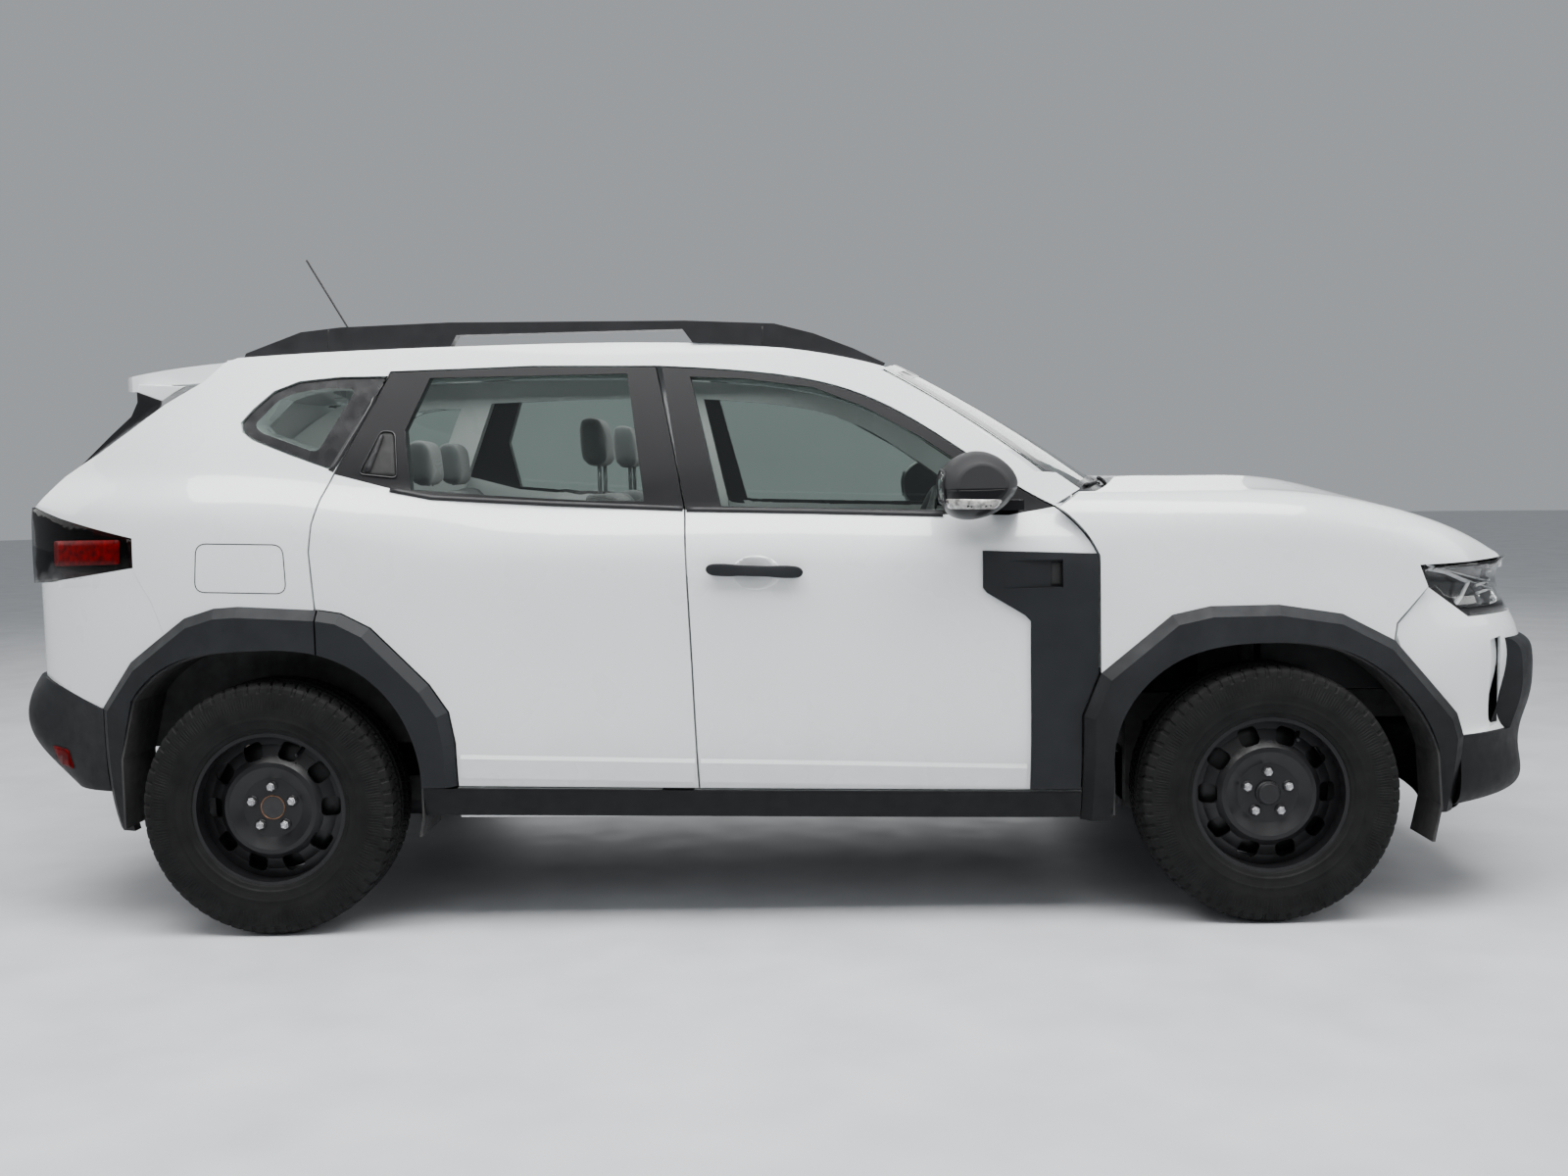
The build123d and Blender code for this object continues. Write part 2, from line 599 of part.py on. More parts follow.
quarter_glass = side_cut(side_slab(GLASS_INSET, GLASS_INSET + GLASS), keep=[side_prism(QUARTER_GLASS, -SEAM)])
save(pair(quarter_glass), "quarter_glass")

# Doors: painted panel, black frame with mirror, handle and claddings, glass
CLADDING_PLATE = 8.0
MIRROR_X = F - 758
MIRROR_Z = BELT_Z + 52
MIRROR_NEAR = DOOR_HALF_WIDTH - 12
MIRROR_WIDTH = 176.0
MIRROR_FACE = [(-107, -5), (-88, 52), (-8, 87), (68, 52), (94, 4), (58, -56), (18, -80), (-82, -74)]
MIRROR_TAPER = [0.93, 1.0, 1.0, 0.97, 0.87, 0.62]
HANDLE_PROUD = 22.0
VENT_REAR_X = F - 694
VENT_FRONT_X = F - 539
VENT_LOW_Z = BELT_Z - 220
VENT_TALL = 73.0
VENT_DEPTH = 12.0
front_groove = side_cut(glass_wall, keep=[side_prism(FRONT_GLASS, 8)])
rear_groove = side_cut(glass_wall, keep=[side_prism(REAR_GLASS, 8)])
cladding_pocket = side_cut(side_slab(-30, CLADDING_PLATE), keep=[side_prism(CLADDING, SEAM)])
# Scooped vent of the cladding, deepest at its front end
vent_rear_y = side_y(VENT_REAR_X, VENT_LOW_Z) + CLADDING_PLATE
vent_front_y = side_y(VENT_FRONT_X, VENT_LOW_Z) + CLADDING_PLATE - VENT_DEPTH
with BuildPart() as vent:
    with BuildSketch(Plane.XY.offset(VENT_LOW_Z)):
        with BuildLine():
            Polyline((VENT_REAR_X, -vent_rear_y), (VENT_FRONT_X, -vent_front_y), (VENT_FRONT_X, -FAR),
                     (VENT_REAR_X, -FAR), close=True)
        make_face()
    extrude(amount=VENT_TALL)
cladding_plate = side_cut(side_slab(-CLADDING_PLATE, CLADDING_PLATE),
                          keep=[side_prism(CLADDING), front_door_shape], drop=[vent.part])
handle = side_cut(side_slab(-HANDLE_PROUD, 0), keep=[side_prism(FRONT_HANDLE)])
# Thin hinge ends of the door panels and slim upper corners, so that the doors swing clear
inner_half = side_slab(HINGE_LEAF, DOOR_DEPTH + 30)
hinge_end = side_prism(upright(FRONT_SHUT_X - 92, FRONT_SHUT_X + 30, 250, BELT_Z + 40))
front_hinge_end = side_cut(inner_half, keep=[hinge_end])
rear_hinge_end = side_cut(inner_half, keep=[side_prism(upright(B - 88, B + 30, 250, BELT_Z + 40))])
head_line = ROOF_Z - 55
post_wedge = [("line", [(B - 25, BELT_Z), (B - 101 + SWING_ROOM, head_line),
                        (B - 107 - SWING_ROOM, head_line)])]
quarter_wedge = [("line", [(R + 187, BELT_Z + 114), (R + 320 + SWING_ROOM, head_line), (R + 300, head_line)])]
post_cut = side_prism(post_wedge)
front_drops = [above_belt, front_groove, cladding_pocket, front_hinge_end]
rear_drops = [above_belt, rear_groove, rear_arch_cut, rear_hinge_end]
front_panel = side_cut(door_wall, keep=[front_door_shape], drop=front_drops)
rear_panel = side_cut(door_wall, keep=[rear_door_shape], drop=rear_drops)
frame_drops = [side_prism(FRONT_GLASS), front_groove, post_cut]
front_frame = side_cut(frame_wall, keep=[front_door_shape, above_belt], drop=frame_drops)
frame_drops = [side_prism(REAR_GLASS), rear_groove, post_cut, side_prism(quarter_wedge)]
rear_frame = side_cut(frame_wall, keep=[rear_door_shape, above_belt], drop=frame_drops)
rear_ring = bevelled(side_cut(trim_wall, keep=[rear_arch_edge], drop=[rear_arch_open]), R)
door_arch = side_cut(rear_ring, keep=[side_prism(DOOR_ARCH, -SHUT_GAP / 2)])

with BuildPart() as mirror_arm:
    with Locations((F - 684, -DOOR_HALF_WIDTH + 24, BELT_Z - 2)):
        Box(80, 124, 26)
with BuildPart() as mirror_shell:
    for step, share in enumerate(MIRROR_TAPER):
        reach = MIRROR_NEAR + MIRROR_WIDTH * step / (len(MIRROR_TAPER) - 1)
        with BuildSketch(Plane.XZ.offset(reach)):
            with BuildLine():
                Spline(*[(MIRROR_X + share * x, MIRROR_Z + share * z) for x, z in MIRROR_FACE], periodic=True)
            make_face()
    loft()
    fillet(mirror_shell.faces().sort_by(Axis.Y)[0].edges(), radius=12)
with BuildPart() as front_trim:
    add(front_frame)
    add(mirror_arm.part)
    add(mirror_shell.part)
    add(cladding_plate)
    add(handle)
with BuildPart() as rear_trim:
    add(rear_frame)
    add(door_arch)
door_nodes = [("front_door", front_panel), ("rear_door", rear_panel), ("front_door_glass", front_groove)]
door_nodes += [("rear_door_glass", rear_groove), ("front_door_trim", front_trim.part)]
door_nodes += [("rear_door_trim", rear_trim.part)]
for name, piece in door_nodes:
    save(piece, f"{name}_right")
    save(mirrored(piece), f"{name}_left")

# Claddings on the body: front arches, rear arches and sills
front_ring = bevelled(side_cut(arch_wall, keep=[front_arch_edge], drop=[front_arch_open]), F)
body_arch = side_cut(rear_ring, keep=[side_prism(BODY_ARCH, -SHUT_GAP / 2)])
sill_cover = side_cut(side_slab(-10, DOOR_DEPTH - 10), keep=[side_prism(SILL)])
with BuildPart() as claddings:
    for piece in (front_ring, body_arch, sill_cover):
        add(piece)
        mirror(piece, about=Plane.XZ)
save(claddings.part, "side_claddings")

# Front wings
wing = side_cut(wing_slab(0, PANEL), keep=[side_prism(WING, -SHUT_GAP / 2)], drop=[front_arch_cut])
save(pair(wing), "front_wings")

# Cowl and windscreen
with BuildPart() as cowl:
    with BuildSketch(Plane.YZ.offset(F - 425)):
        with BuildLine():
            top = Spline(*[(y, cowl_height(y)) for y in (-COWL_HALF, -350, 0, 350, COWL_HALF)])
            foot = Polyline((COWL_HALF, BELT_Z - 30), (-COWL_HALF, BELT_Z - 30))
            Line(top @ 1, foot @ 0)
            Line(foot @ 1, top @ 0)
        make_face()
    extrude(amount=200)
save(cowl.part, "cowl")

GLASS_EDGE = 6.0
screen_view = [(-SCREEN_HALF_FOOT - GLASS_EDGE, BELT_Z - 20), (SCREEN_HALF_FOOT + GLASS_EDGE, BELT_Z - 20)]
screen_view += [(SCREEN_HALF_HEAD - 10, ROOF_Z + 40), (10 - SCREEN_HALF_HEAD, ROOF_Z + 40)]
windscreen = side_cut(screen_slab(0, -GLASS), keep=[front_prism(screen_view, 0, 1500)])
save(windscreen, "windscreen")

# Roof rails and antenna
RAIL_Y = 606.0
RAIL_WIDTH = 44.0
RAIL_RISE = 65.0
rail_stations = (F - 990, 150, -250, -800, R + 140, R - 105)
rail_foot = [(x, roof_edge(x) + SEAT + max(0.0, x) / 100) for x in rail_stations]
rail_top = [(R - 98, ROOF_Z - 8), (R + 57, ROOF_Z + RAIL_RISE - 18), (R + 168, ROOF_Z + RAIL_RISE - 7)]
rail_top += [(R + 470, ROOF_Z + RAIL_RISE), (B - 27, ROOF_Z + RAIL_RISE - 9)]
rail_top += [(B + 217, ROOF_Z + RAIL_RISE - 22), (B + 325, ROOF_Z + 14), (B + 433, ROOF_Z - 29)]
rail_top += [(F - 985, ROOF_Z - 72)]
RAIL = [("curve", rail_foot), ("line", rail_top)]
RAIL_GAP = [("line", [(R + 455, ROOF_Z - 30), (R + 490, ROOF_Z + 30), (B - 35, ROOF_Z + 33),
                      (B + 10, ROOF_Z - 30)])]
rail_near = RAIL_Y - RAIL_WIDTH / 2
with BuildPart() as rail:
    add(side_prism(RAIL, 0, rail_near, RAIL_Y + RAIL_WIDTH / 2))
    add(side_prism(RAIL_GAP), mode=Mode.SUBTRACT)
    add(roof_seat, mode=Mode.SUBTRACT)
save(pair(rail.part), "roof_rails")

ANTENNA_X = R + 62.0
ANTENNA_LENGTH = 366.0
ANTENNA_LEAN = 30.0
antenna_z = roof_edge(ANTENNA_X) + ROOF_CROWN
rod_way = (-sin(radians(ANTENNA_LEAN)), 0, cos(radians(ANTENNA_LEAN)))
lean = Plane(origin=(ANTENNA_X, 0, antenna_z), z_dir=rod_way)
with BuildPart() as antenna:
    with BuildSketch(Plane.XY.offset(antenna_z - 12)):
        with Locations((ANTENNA_X, 0)):
            Ellipse(36, 24)
    extrude(amount=28, taper=25)
    add(roof_seat, mode=Mode.SUBTRACT)
    with BuildSketch(lean.offset(8)):
        Circle(6)
    extrude(amount=70, taper=2)
    with BuildSketch(lean.offset(8)):
        Circle(3)
    extrude(amount=ANTENNA_LENGTH - 8)
save(antenna.part, "antenna")

# Front end, as right-hand halves of plan sections mirrored about the middle
NOSE_PLAN = [(480, 1.0), (375, 0.982), (255, 0.925), (150, 0.835), (80, 0.74), (30, 0.545)]
NOSE_PLAN += [(5, 0.26), (0, 0.0)]
BUMPER = 30.0
WHITE_LOW_Z = 482.0
UPPER_ROWS = [(WHITE_LOW_Z, NOSE_X - 45, 842), (640, NOSE_X - 40, 836), (735, NOSE_X - 36, 828)]
UPPER_ROWS += [(790, NOSE_X - 58, 824), (BELT_Z - 175, NOSE_X - 64, 812)]
BLACK_TOP_Z = 728.0
LOWER_ROWS = [(250, NOSE_X - 190, 815), (300, NOSE_X - 62, 832), (352, NOSE_X - 28, 842)]
LOWER_ROWS += [(400, NOSE_X - 34, 843), (557, NOSE_X - 8, 846), (612, NOSE_X, 846), (680, NOSE_X, 842)]
LOWER_ROWS += [(BLACK_TOP_Z, NOSE_X - 34, 836)]


def half_loft(sections):
    # Loft of half plan sections, each an outer and an inner curve ending on the middle plane
    with BuildPart() as slab:
        for z, outer, inner in sections:
            with BuildSketch(Plane.XY.offset(z)):
                with BuildLine():
                    skin = Spline(*outer)
                    lining = Spline(*inner)
                    Line(skin @ 0, lining @ 0)
                    Line(skin @ 1, lining @ 1)
                make_face()
        loft()
    return slab.part


def nose_slab(rows, outer, inner):
    def curve(centre, half, depth):
        return [(centre - depth - back, -share * (half - depth)) for back, share in NOSE_PLAN]
    return half_loft([(z, curve(c, h, outer), curve(c, h, inner)) for z, c, h in rows])


HEADLAMP = [("line", [(F + 412, BELT_Z - 184), (F + 405, BELT_Z - 150), (F + 900, BELT_Z - 150),
                      (F + 900, BELT_Z - 322), (F + 556, BELT_Z - 326), (F + 433, BELT_Z - 240)])]
NOSE_SEAM = [("line", [(F + 300, 380), (F + 340, BELT_Z - 333), (F + 431, BELT_Z - 240),
                       (F + 405, BELT_Z - 150), (F + 900, BELT_Z - 150), (F + 900, 380)])]
AIR_SLOT = [("line", [(F + 624, 728), (F + 664, 736), (F + 664, 500), (F + 627, 491)])]
SLOT_DEPTH = 14.0
LAMP_INNER_Y = 430.0
LAMP_DEPTH = 66.0
BLACK_HALF = 690.0
GRILLE_LOW_Z = BELT_Z - 320.0


def half_zone(inner_y, outer_y, low, high):
    # Box ahead of the front axle on the right, between two widths and two heights
    return front_prism([(-inner_y, low), (-outer_y, low), (-outer_y, high), (-inner_y, high)], F + 250, 700)


lamp_zone = half_zone(LAMP_INNER_Y, 1000, 700, 1000)
grille_zone = half_zone(0, LAMP_INNER_Y - SEAM, GRILLE_LOW_Z, BELT_Z - 215)
grille_cut = half_zone(0, LAMP_INNER_Y, GRILLE_LOW_Z - SEAM, 1000)
black_cut = half_zone(0, BLACK_HALF + SEAM, 300, BLACK_TOP_Z + SEAM)
white_cut = half_zone(BLACK_HALF, 1000, WHITE_LOW_Z - SEAM, 1000)
lamp_prism = side_prism(HEADLAMP, -SEAM)
headlamp = side_cut(nose_slab(UPPER_ROWS, 3, LAMP_DEPTH), keep=[lamp_prism, lamp_zone],
                    drop=[bonnet_void, wing_void])
save(pair(headlamp), "headlamps")
grille = side_cut(nose_slab(UPPER_ROWS, 8, LAMP_DEPTH), keep=[grille_zone], drop=[bonnet_void])
save(pair(grille), "grille")
lamp_cut = side_cut(lamp_zone, keep=[side_prism(HEADLAMP)])
slot_pocket = side_cut(nose_slab(UPPER_ROWS, -5, SLOT_DEPTH), keep=[side_prism(AIR_SLOT)])
bumper_drops = [lamp_cut, grille_cut, black_cut, front_arch_cut, bonnet_void, wing_void, slot_pocket]
front_bumper = side_cut(nose_slab(UPPER_ROWS, 0, BUMPER), keep=[side_prism(NOSE_SEAM)], drop=bumper_drops)
save(pair(front_bumper), "front_bumper")
front_lower = side_cut(nose_slab(LOWER_ROWS, 0, BUMPER), drop=[white_cut, front_arch_cut])
save(pair(front_lower), "front_bumper_lower")

# Rear end
TAIL_CENTRE = R - 770.0


def tail_half(rows, outer, inner):
    def curve(z, centre, wide, depth):
        out = TAIL_CENTRE - centre
        sides = [(R - 250, wide), (R - 448, wide), (R - 600 - 0.6 * out, 0.8 * wide)]
        points = [(x, depth - side_y(x, z) - add_y) for x, add_y in sides]
        points += [(R - 690 - out + 0.6 * depth, 0.7 * depth - side_y(R - 690, z))]
        points += [(R - 745 - out + depth, -480), (centre + 8 + depth, -240), (centre + depth, 0)]
        return points
    return half_loft([(z, curve(z, c, w, outer), curve(z, c, w, inner)) for z, c, w in rows])


WHITE_ROWS = [(z, TAIL_CENTRE, 0) for z in (600, 700, 760, LAMP_LOW_Z + 20)]
BLACK_ROWS = [(380, TAIL_X + 110, 0), (440, TAIL_X + 55, 6), (530, TAIL_X, 10), (612, TAIL_X, 10)]
BLACK_ROWS += [(700, TAIL_X + 46, 2)]
SPLIT = [(R - 250, 606), (R - 480, 612), (R - 690, 684), (R - 900, 690)]
BELOW_SPLIT = [("line", SPLIT + [(R - 900, 300), (R - 250, 300)])]
LAMP_FOOT = [(R - 740, LAMP_LOW_Z), (R - 497, LAMP_LOW_Z + 22)]
lamp_slope = (LAMP_FOOT[1][1] - LAMP_FOOT[0][1]) / (LAMP_FOOT[1][0] - LAMP_FOOT[0][0])
white_corner = (R - 900, LAMP_LOW_Z - 160 * lamp_slope)
REAR_WHITE = [("line", SPLIT + [white_corner] + LAMP_FOOT[1:] + SEAM_LINE)]
rear_bumper = side_cut(tail_half(WHITE_ROWS, 0, BUMPER), keep=[side_prism(REAR_WHITE, -SEAM)],
                       drop=[rear_arch_cut, tail_plug])
save(pair(rear_bumper), "rear_bumper")
rear_lower = side_cut(tail_half(BLACK_ROWS, 0, BUMPER), keep=[side_prism(BELOW_SPLIT)], drop=[rear_arch_cut])
save(pair(rear_lower), "rear_bumper_lower")
TAIL_LAMP = [("line", LAMP_TOP + SEAM_LINE[:1] + LAMP_FOOT[::-1] + [(R - 740, BELT_Z + 39)])]
tail_lamp = side_cut(side_slab(2, LAMP_DEPTH), keep=[side_prism(TAIL_LAMP, -SEAM)], drop=[tail_plug])
save(pair(tail_lamp), "tail_lamps")

# Tailgate: panel with window frame, glass and spoiler
GLASS_BED = GLASS + SEAT
low_corners = [(-900, 600), (900, 600), (900, GLASS_FOOT_Z), (-900, GLASS_FOOT_Z)]
high_corners = [(-900, GLASS_FOOT_Z), (900, GLASS_FOOT_Z), (900, 1700), (-900, 1700)]
low_view = front_prism(low_corners, TAIL_X - 100, 1200)
high_view = front_prism(high_corners, TAIL_X - 100, 1200)
window_view = [(-540, GLASS_FOOT_Z + 50), (540, GLASS_FOOT_Z + 50), (490, ROOF_Z - 140), (-490, ROOF_Z - 140)]
tail_window = front_prism(window_view, TAIL_X - 100, 1200)
tail_lower = side_cut(tail_slab(0, TAIL_DEPTH), keep=[low_view])
# Top corners of the frame, cut back for the swing past the cant rails
CORNER_TRIM = [(590, ROOF_Z - 101), (640, ROOF_Z - 105), (668, ROOF_Z - 131), (720, ROOF_Z - 131)]
CORNER_TRIM += [(720, ROOF_Z), (590, ROOF_Z)]
right_trim = front_prism([(-y, z) for y, z in CORNER_TRIM], TAIL_X - 100, 1200)
tail_upper = side_cut(tail_slab(GLASS_BED, TAIL_DEPTH), keep=[high_view],
                      drop=[tail_window, right_trim, mirrored(right_trim)])
tailgate_glass = side_cut(tail_slab(0, GLASS), keep=[high_view])
save(tailgate_glass, "tailgate_glass")
glass_bed = tail_slab(-30, GLASS_BED)


def spoiler_section(x, half, drop, thick):
    top = roof_edge(R - 150) - drop
    points = [(-1, 0), (-0.6, 0.66), (0, 1), (0.6, 0.66), (1, 0)]
    upper = [(y * half, top + z * ROOF_CROWN) for y, z in points]
    return upper, [(y, z - thick) for y, z in upper]


SPOILER_ROWS = [(R - 151, SPOILER_HALF - 10, 0, 60), (R - 300, SPOILER_HALF, 14, 58)]
SPOILER_ROWS += [(R - 470, SPOILER_HALF - 20, 38, 40), (R - 580, SPOILER_HALF - 60, 58, 22)]
with BuildPart() as spoiler_block:
    for x, half, drop, thick in SPOILER_ROWS:
        upper, lower = spoiler_section(x, half, drop, thick)
        with BuildSketch(Plane.YZ.offset(x)):
            with BuildLine():
                crown = Spline(*upper)
                belly = Spline(*lower)
                Line(crown @ 0, belly @ 0)
                Line(crown @ 1, belly @ 1)
            make_face()
    loft()
spoiler_tip = [(R - 575, 0), (R - 560, 250), (R - 510, 450), (R - 420, 600)]
tip_curve = [(x, -y) for x, y in spoiler_tip[::-1]] + spoiler_tip[1:]
spoiler_plan = plan_prism([("curve", tip_curve), ("line", [(R - 100, 650), (R - 100, -650)])], 1300, 1700)
with BuildPart() as tailgate:
    add(tail_lower)
    add(tail_upper)
    add(side_cut(spoiler_block.part, keep=[spoiler_plan], drop=[glass_bed]))
save(tailgate.part, "tailgate")

# Wheel liners
LINER_OUT_Y = 848.0
FRONT_LINER_Y = 690.0
REAR_LINER_Y = 640.0
REAR_WALL_Y = REAR_LINER_Y - LINER
BOOT_Z = 520.0
liner_floor = side_prism(upright(R - 900, F + 900, 290, 1000))
front_liner = side_cut(side_prism(FRONT_ARCH_OPEN, -0.5, FRONT_LINER_Y, LINER_OUT_Y), keep=[liner_floor],
                       drop=[side_prism(FRONT_ARCH_OPEN, -LINER)])
rear_band = side_cut(side_prism(REAR_ARCH_OPEN, -0.5, REAR_LINER_Y, LINER_OUT_Y), keep=[liner_floor],
                     drop=[side_prism(REAR_ARCH_OPEN, -LINER)])
wall_floor = side_prism(upright(R - 900, F, BOOT_Z - 40, 1000))
rear_wall = side_cut(side_prism(REAR_ARCH_OPEN, -0.5, REAR_WALL_Y, REAR_LINER_Y), keep=[wall_floor])
# Rubber flaps hanging below the liners ahead of the wheels
FRONT_FLAP = [("line", [(F + 453, 303), (F + 459, 303), (F + 440, 206), (F + 432, 206)])]
REAR_FLAP = [("line", [(R + 404, 303), (R + 410, 303), (R + 403, 258), (R + 395, 258)])]
front_flap = side_prism(FRONT_FLAP, 0, FRONT_LINER_Y, LINER_OUT_Y)
rear_flap = side_prism(REAR_FLAP, 0, REAR_LINER_Y, LINER_OUT_Y)
with BuildPart() as liners:
    for piece in (front_liner, rear_band, rear_wall, front_flap, rear_flap):
        add(piece)
    mirror(about=Plane.XZ)
save(liners.part, "wheel_liners")

# Wheels: one steel rim and one tyre, placed at four hubs
BEAD_R = BEAD_DIAMETER / 2
LIP_R = BEAD_R + RIM_LIP
RIM_HALF = RIM_WIDTH / 2
FLANGE = 11.0
DISC = 8.0
TYRE_R = TYRE_DIAMETER / 2
TYRE_HALF = TYRE_WIDTH / 2


def spun(points):
    # Ring about the wheel axis from (radius, outward offset) points
    with BuildPart() as ring:
        with BuildSketch():
            with BuildLine():
                Polyline(*[(r, -a) for r, a in points], close=True)
            make_face()
        revolve(axis=Axis.Y)
    return ring.part


barrel = [(BEAD_R - RIM_WALL, -RIM_HALF), (LIP_R, -RIM_HALF), (LIP_R, FLANGE - RIM_HALF)]
barrel += [(BEAD_R, FLANGE - RIM_HALF), (BEAD_R, RIM_HALF - FLANGE), (LIP_R, RIM_HALF - FLANGE)]
barrel += [(LIP_R, RIM_HALF), (BEAD_R - RIM_WALL, RIM_HALF)]
DISH = [(80, 0), (98, 10), (112, 18), (124, 16), (140, 2), (170, -12), (BEAD_R - RIM_WALL + 1, -16)]
dish_back = [(HUB_BORE / 2, WHEEL_OFFSET)] + [(r, WHEEL_OFFSET + a) for r, a in DISH]
dish_face = [(r, WHEEL_OFFSET + DISC + a) for r, a in DISH[::-1]] + [(HUB_BORE / 2, WHEEL_OFFSET + DISC)]
with BuildPart() as rim:
    add(spun(barrel))
    add(spun(dish_back + dish_face))
    with BuildSketch(Plane.XZ):
        with PolarLocations(VENT_CIRCLE / 2, VENT_COUNT):
            RectangleRounded(VENT_HEIGHT, VENT_WIDTH, 14)
    extrude(amount=RIM_HALF, mode=Mode.SUBTRACT)

tyre_side = [(BEAD_R + SEAT, RIM_HALF - FLANGE - SEAT), (LIP_R + SEAT, RIM_HALF - FLANGE - SEAT)]
tyre_bulge = [(LIP_R + SEAT, RIM_HALF - FLANGE - SEAT), (LIP_R + 40, TYRE_HALF - 2), (TYRE_R - 62, TYRE_HALF)]
tyre_bulge += [(TYRE_R - 22, TYRE_HALF - 12)]
with BuildPart() as tyre:
    with BuildSketch():
        with BuildLine():
            Polyline(*[(r, -a) for r, a in tyre_side])
            Spline(*[(r, -a) for r, a in tyre_bulge])
            Polyline((TYRE_R - 22, 12 - TYRE_HALF), (TYRE_R - 5, 28 - TYRE_HALF),
                     (TYRE_R, 48 - TYRE_HALF), (TYRE_R, 0))
            Line((TYRE_R, 0), (BEAD_R + SEAT, 0))
            Line((BEAD_R + SEAT, 0), (BEAD_R + SEAT, SEAT + FLANGE - RIM_HALF))
        make_face()
        mirror(about=Plane.XZ)
    revolve(axis=Axis.Y)


def at_hub(piece, x, name):
    with BuildPart() as placed:
        with Locations((x, -WHEEL_Y, HUB_Z)):
            add(piece)
    save(placed.part, f"{name}_right")
    save(mirrored(placed.part), f"{name}_left")


for x, end in ((F, "front"), (R, "rear")):
    at_hub(rim.part, x, f"{end}_rim")
    at_hub(tyre.part, x, f"{end}_tyre")

# Front knuckles about a leaning steering axis, with struts above and arms below
KINGPIN = tan(radians(KINGPIN_LEAN))
kingpin_y = WHEEL_Y - HUB_Z * KINGPIN
HUB_REACH = WHEEL_OFFSET - SEAT
STRUT_R = 22.0
STRUT_TOP_Z = 900.0
KNUCKLE_TOP_Z = HUB_Z + 130.0
KNUCKLE_LOW_Z = HUB_Z - 93.0


def leaning_plane(z):
    # Plane square to the right steering axis where that axis crosses a height
    return Plane(origin=(F, -(WHEEL_Y - z * KINGPIN), z), x_dir=(1, 0, 0), z_dir=(0, KINGPIN, 1))


def hub(piece_plane, back):
    # Bearing, flange and spigot along the wheel axis
    with BuildPart() as part:
        with BuildSketch(piece_plane.offset(-back)):
            Circle(44)
        extrude(amount=back + HUB_REACH - 10)
        with BuildSketch(piece_plane.offset(HUB_REACH - 10)):
            Circle(HUB_FLANGE / 2)
        extrude(amount=10)
        with BuildSketch(piece_plane.offset(HUB_REACH)):
            Circle(HUB_BORE / 2 - 0.5)
        extrude(amount=8)
    return part.part


front_hub_plane = Plane(origin=(F, -WHEEL_Y, HUB_Z), x_dir=(1, 0, 0), z_dir=(0, -1, 0))
with BuildPart() as knuckle:
    add(hub(front_hub_plane, WHEEL_Y - kingpin_y))
    with BuildSketch(leaning_plane(KNUCKLE_LOW_Z)):
        Circle(34)
    extrude(amount=(KNUCKLE_TOP_Z - KNUCKLE_LOW_Z) / cos(radians(KINGPIN_LEAN)))
    with Locations((F - 75, -kingpin_y + 6, HUB_Z - 20)):
        Box(150, 34, 40)
save(knuckle.part, "knuckle_right")
save(mirrored(knuckle.part), "knuckle_left")

ARM_Z = KNUCKLE_LOW_Z - 26.0
arm_y = WHEEL_Y - ARM_Z * KINGPIN
RAIL_IN = 400.0
RAIL_LOW_Z = 480.0
RAIL_HIGH_Z = 560.0
with BuildPart() as front_suspension:
    with BuildSketch(leaning_plane(KNUCKLE_TOP_Z + SEAT)):
        Circle(STRUT_R)
    extrude(amount=(STRUT_TOP_Z - KNUCKLE_TOP_Z) / cos(radians(KINGPIN_LEAN)))
    with BuildSketch(leaning_plane(HUB_Z + 400)):
        Circle(50)
    extrude(amount=120)
    with BuildSketch(leaning_plane(HUB_Z + 385)):
        Circle(64)
    extrude(amount=10)
    with Locations((F, -RAIL_IN - 130, STRUT_TOP_Z)):
        Box(160, 270, 24)
with BuildPart() as subframe:
    with BuildSketch(Plane.XY.offset(ARM_Z - 12)):
        with BuildLine():
            Polyline((F - 300, 0), (F - 300, -380), (F - 160, -RAIL_IN), (F - 40, -arm_y - 24),
                     (F + 34, -arm_y - 24), (F + 60, -RAIL_IN), (F + 190, -380), (F + 190, 0), close=True)
        make_face()
    extrude(amount=24)
    with BuildSketch(leaning_plane(ARM_Z)):
        Circle(16)
    extrude(amount=(KNUCKLE_LOW_Z - ARM_Z) / cos(radians(KINGPIN_LEAN)) - SEAT)
    for x in (F - 270, F + 160):
        with Locations((x, -RAIL_IN - 5, (ARM_Z + 12 + RAIL_LOW_Z) / 2)):
            Box(50, 50, RAIL_LOW_Z - ARM_Z - 12)
with BuildPart() as suspension:
    add(front_suspension.part)
    add(subframe.part)
    mirror(about=Plane.XZ)
save(suspension.part, "front_suspension")

# Floor, bulkhead, rear panel and front rails
FLOOR_Z = 300.0
FLOOR_WALL = 35.0
BULKHEAD_X = F - 435.0
KICK_X = R + 500.0
REAR_PANEL_X = TAIL_X + 150.0
JACK_X = B + 401.0
JACK_Y = 600.0
JACK_PAD = 12.0


def block(x0, x1, y0, y1, z0, z1):
    # Plain box between two corners
    with Locations(((x0 + x1) / 2, (y0 + y1) / 2, (z0 + z1) / 2)):
        Box(x1 - x0, y1 - y0, z1 - z0)


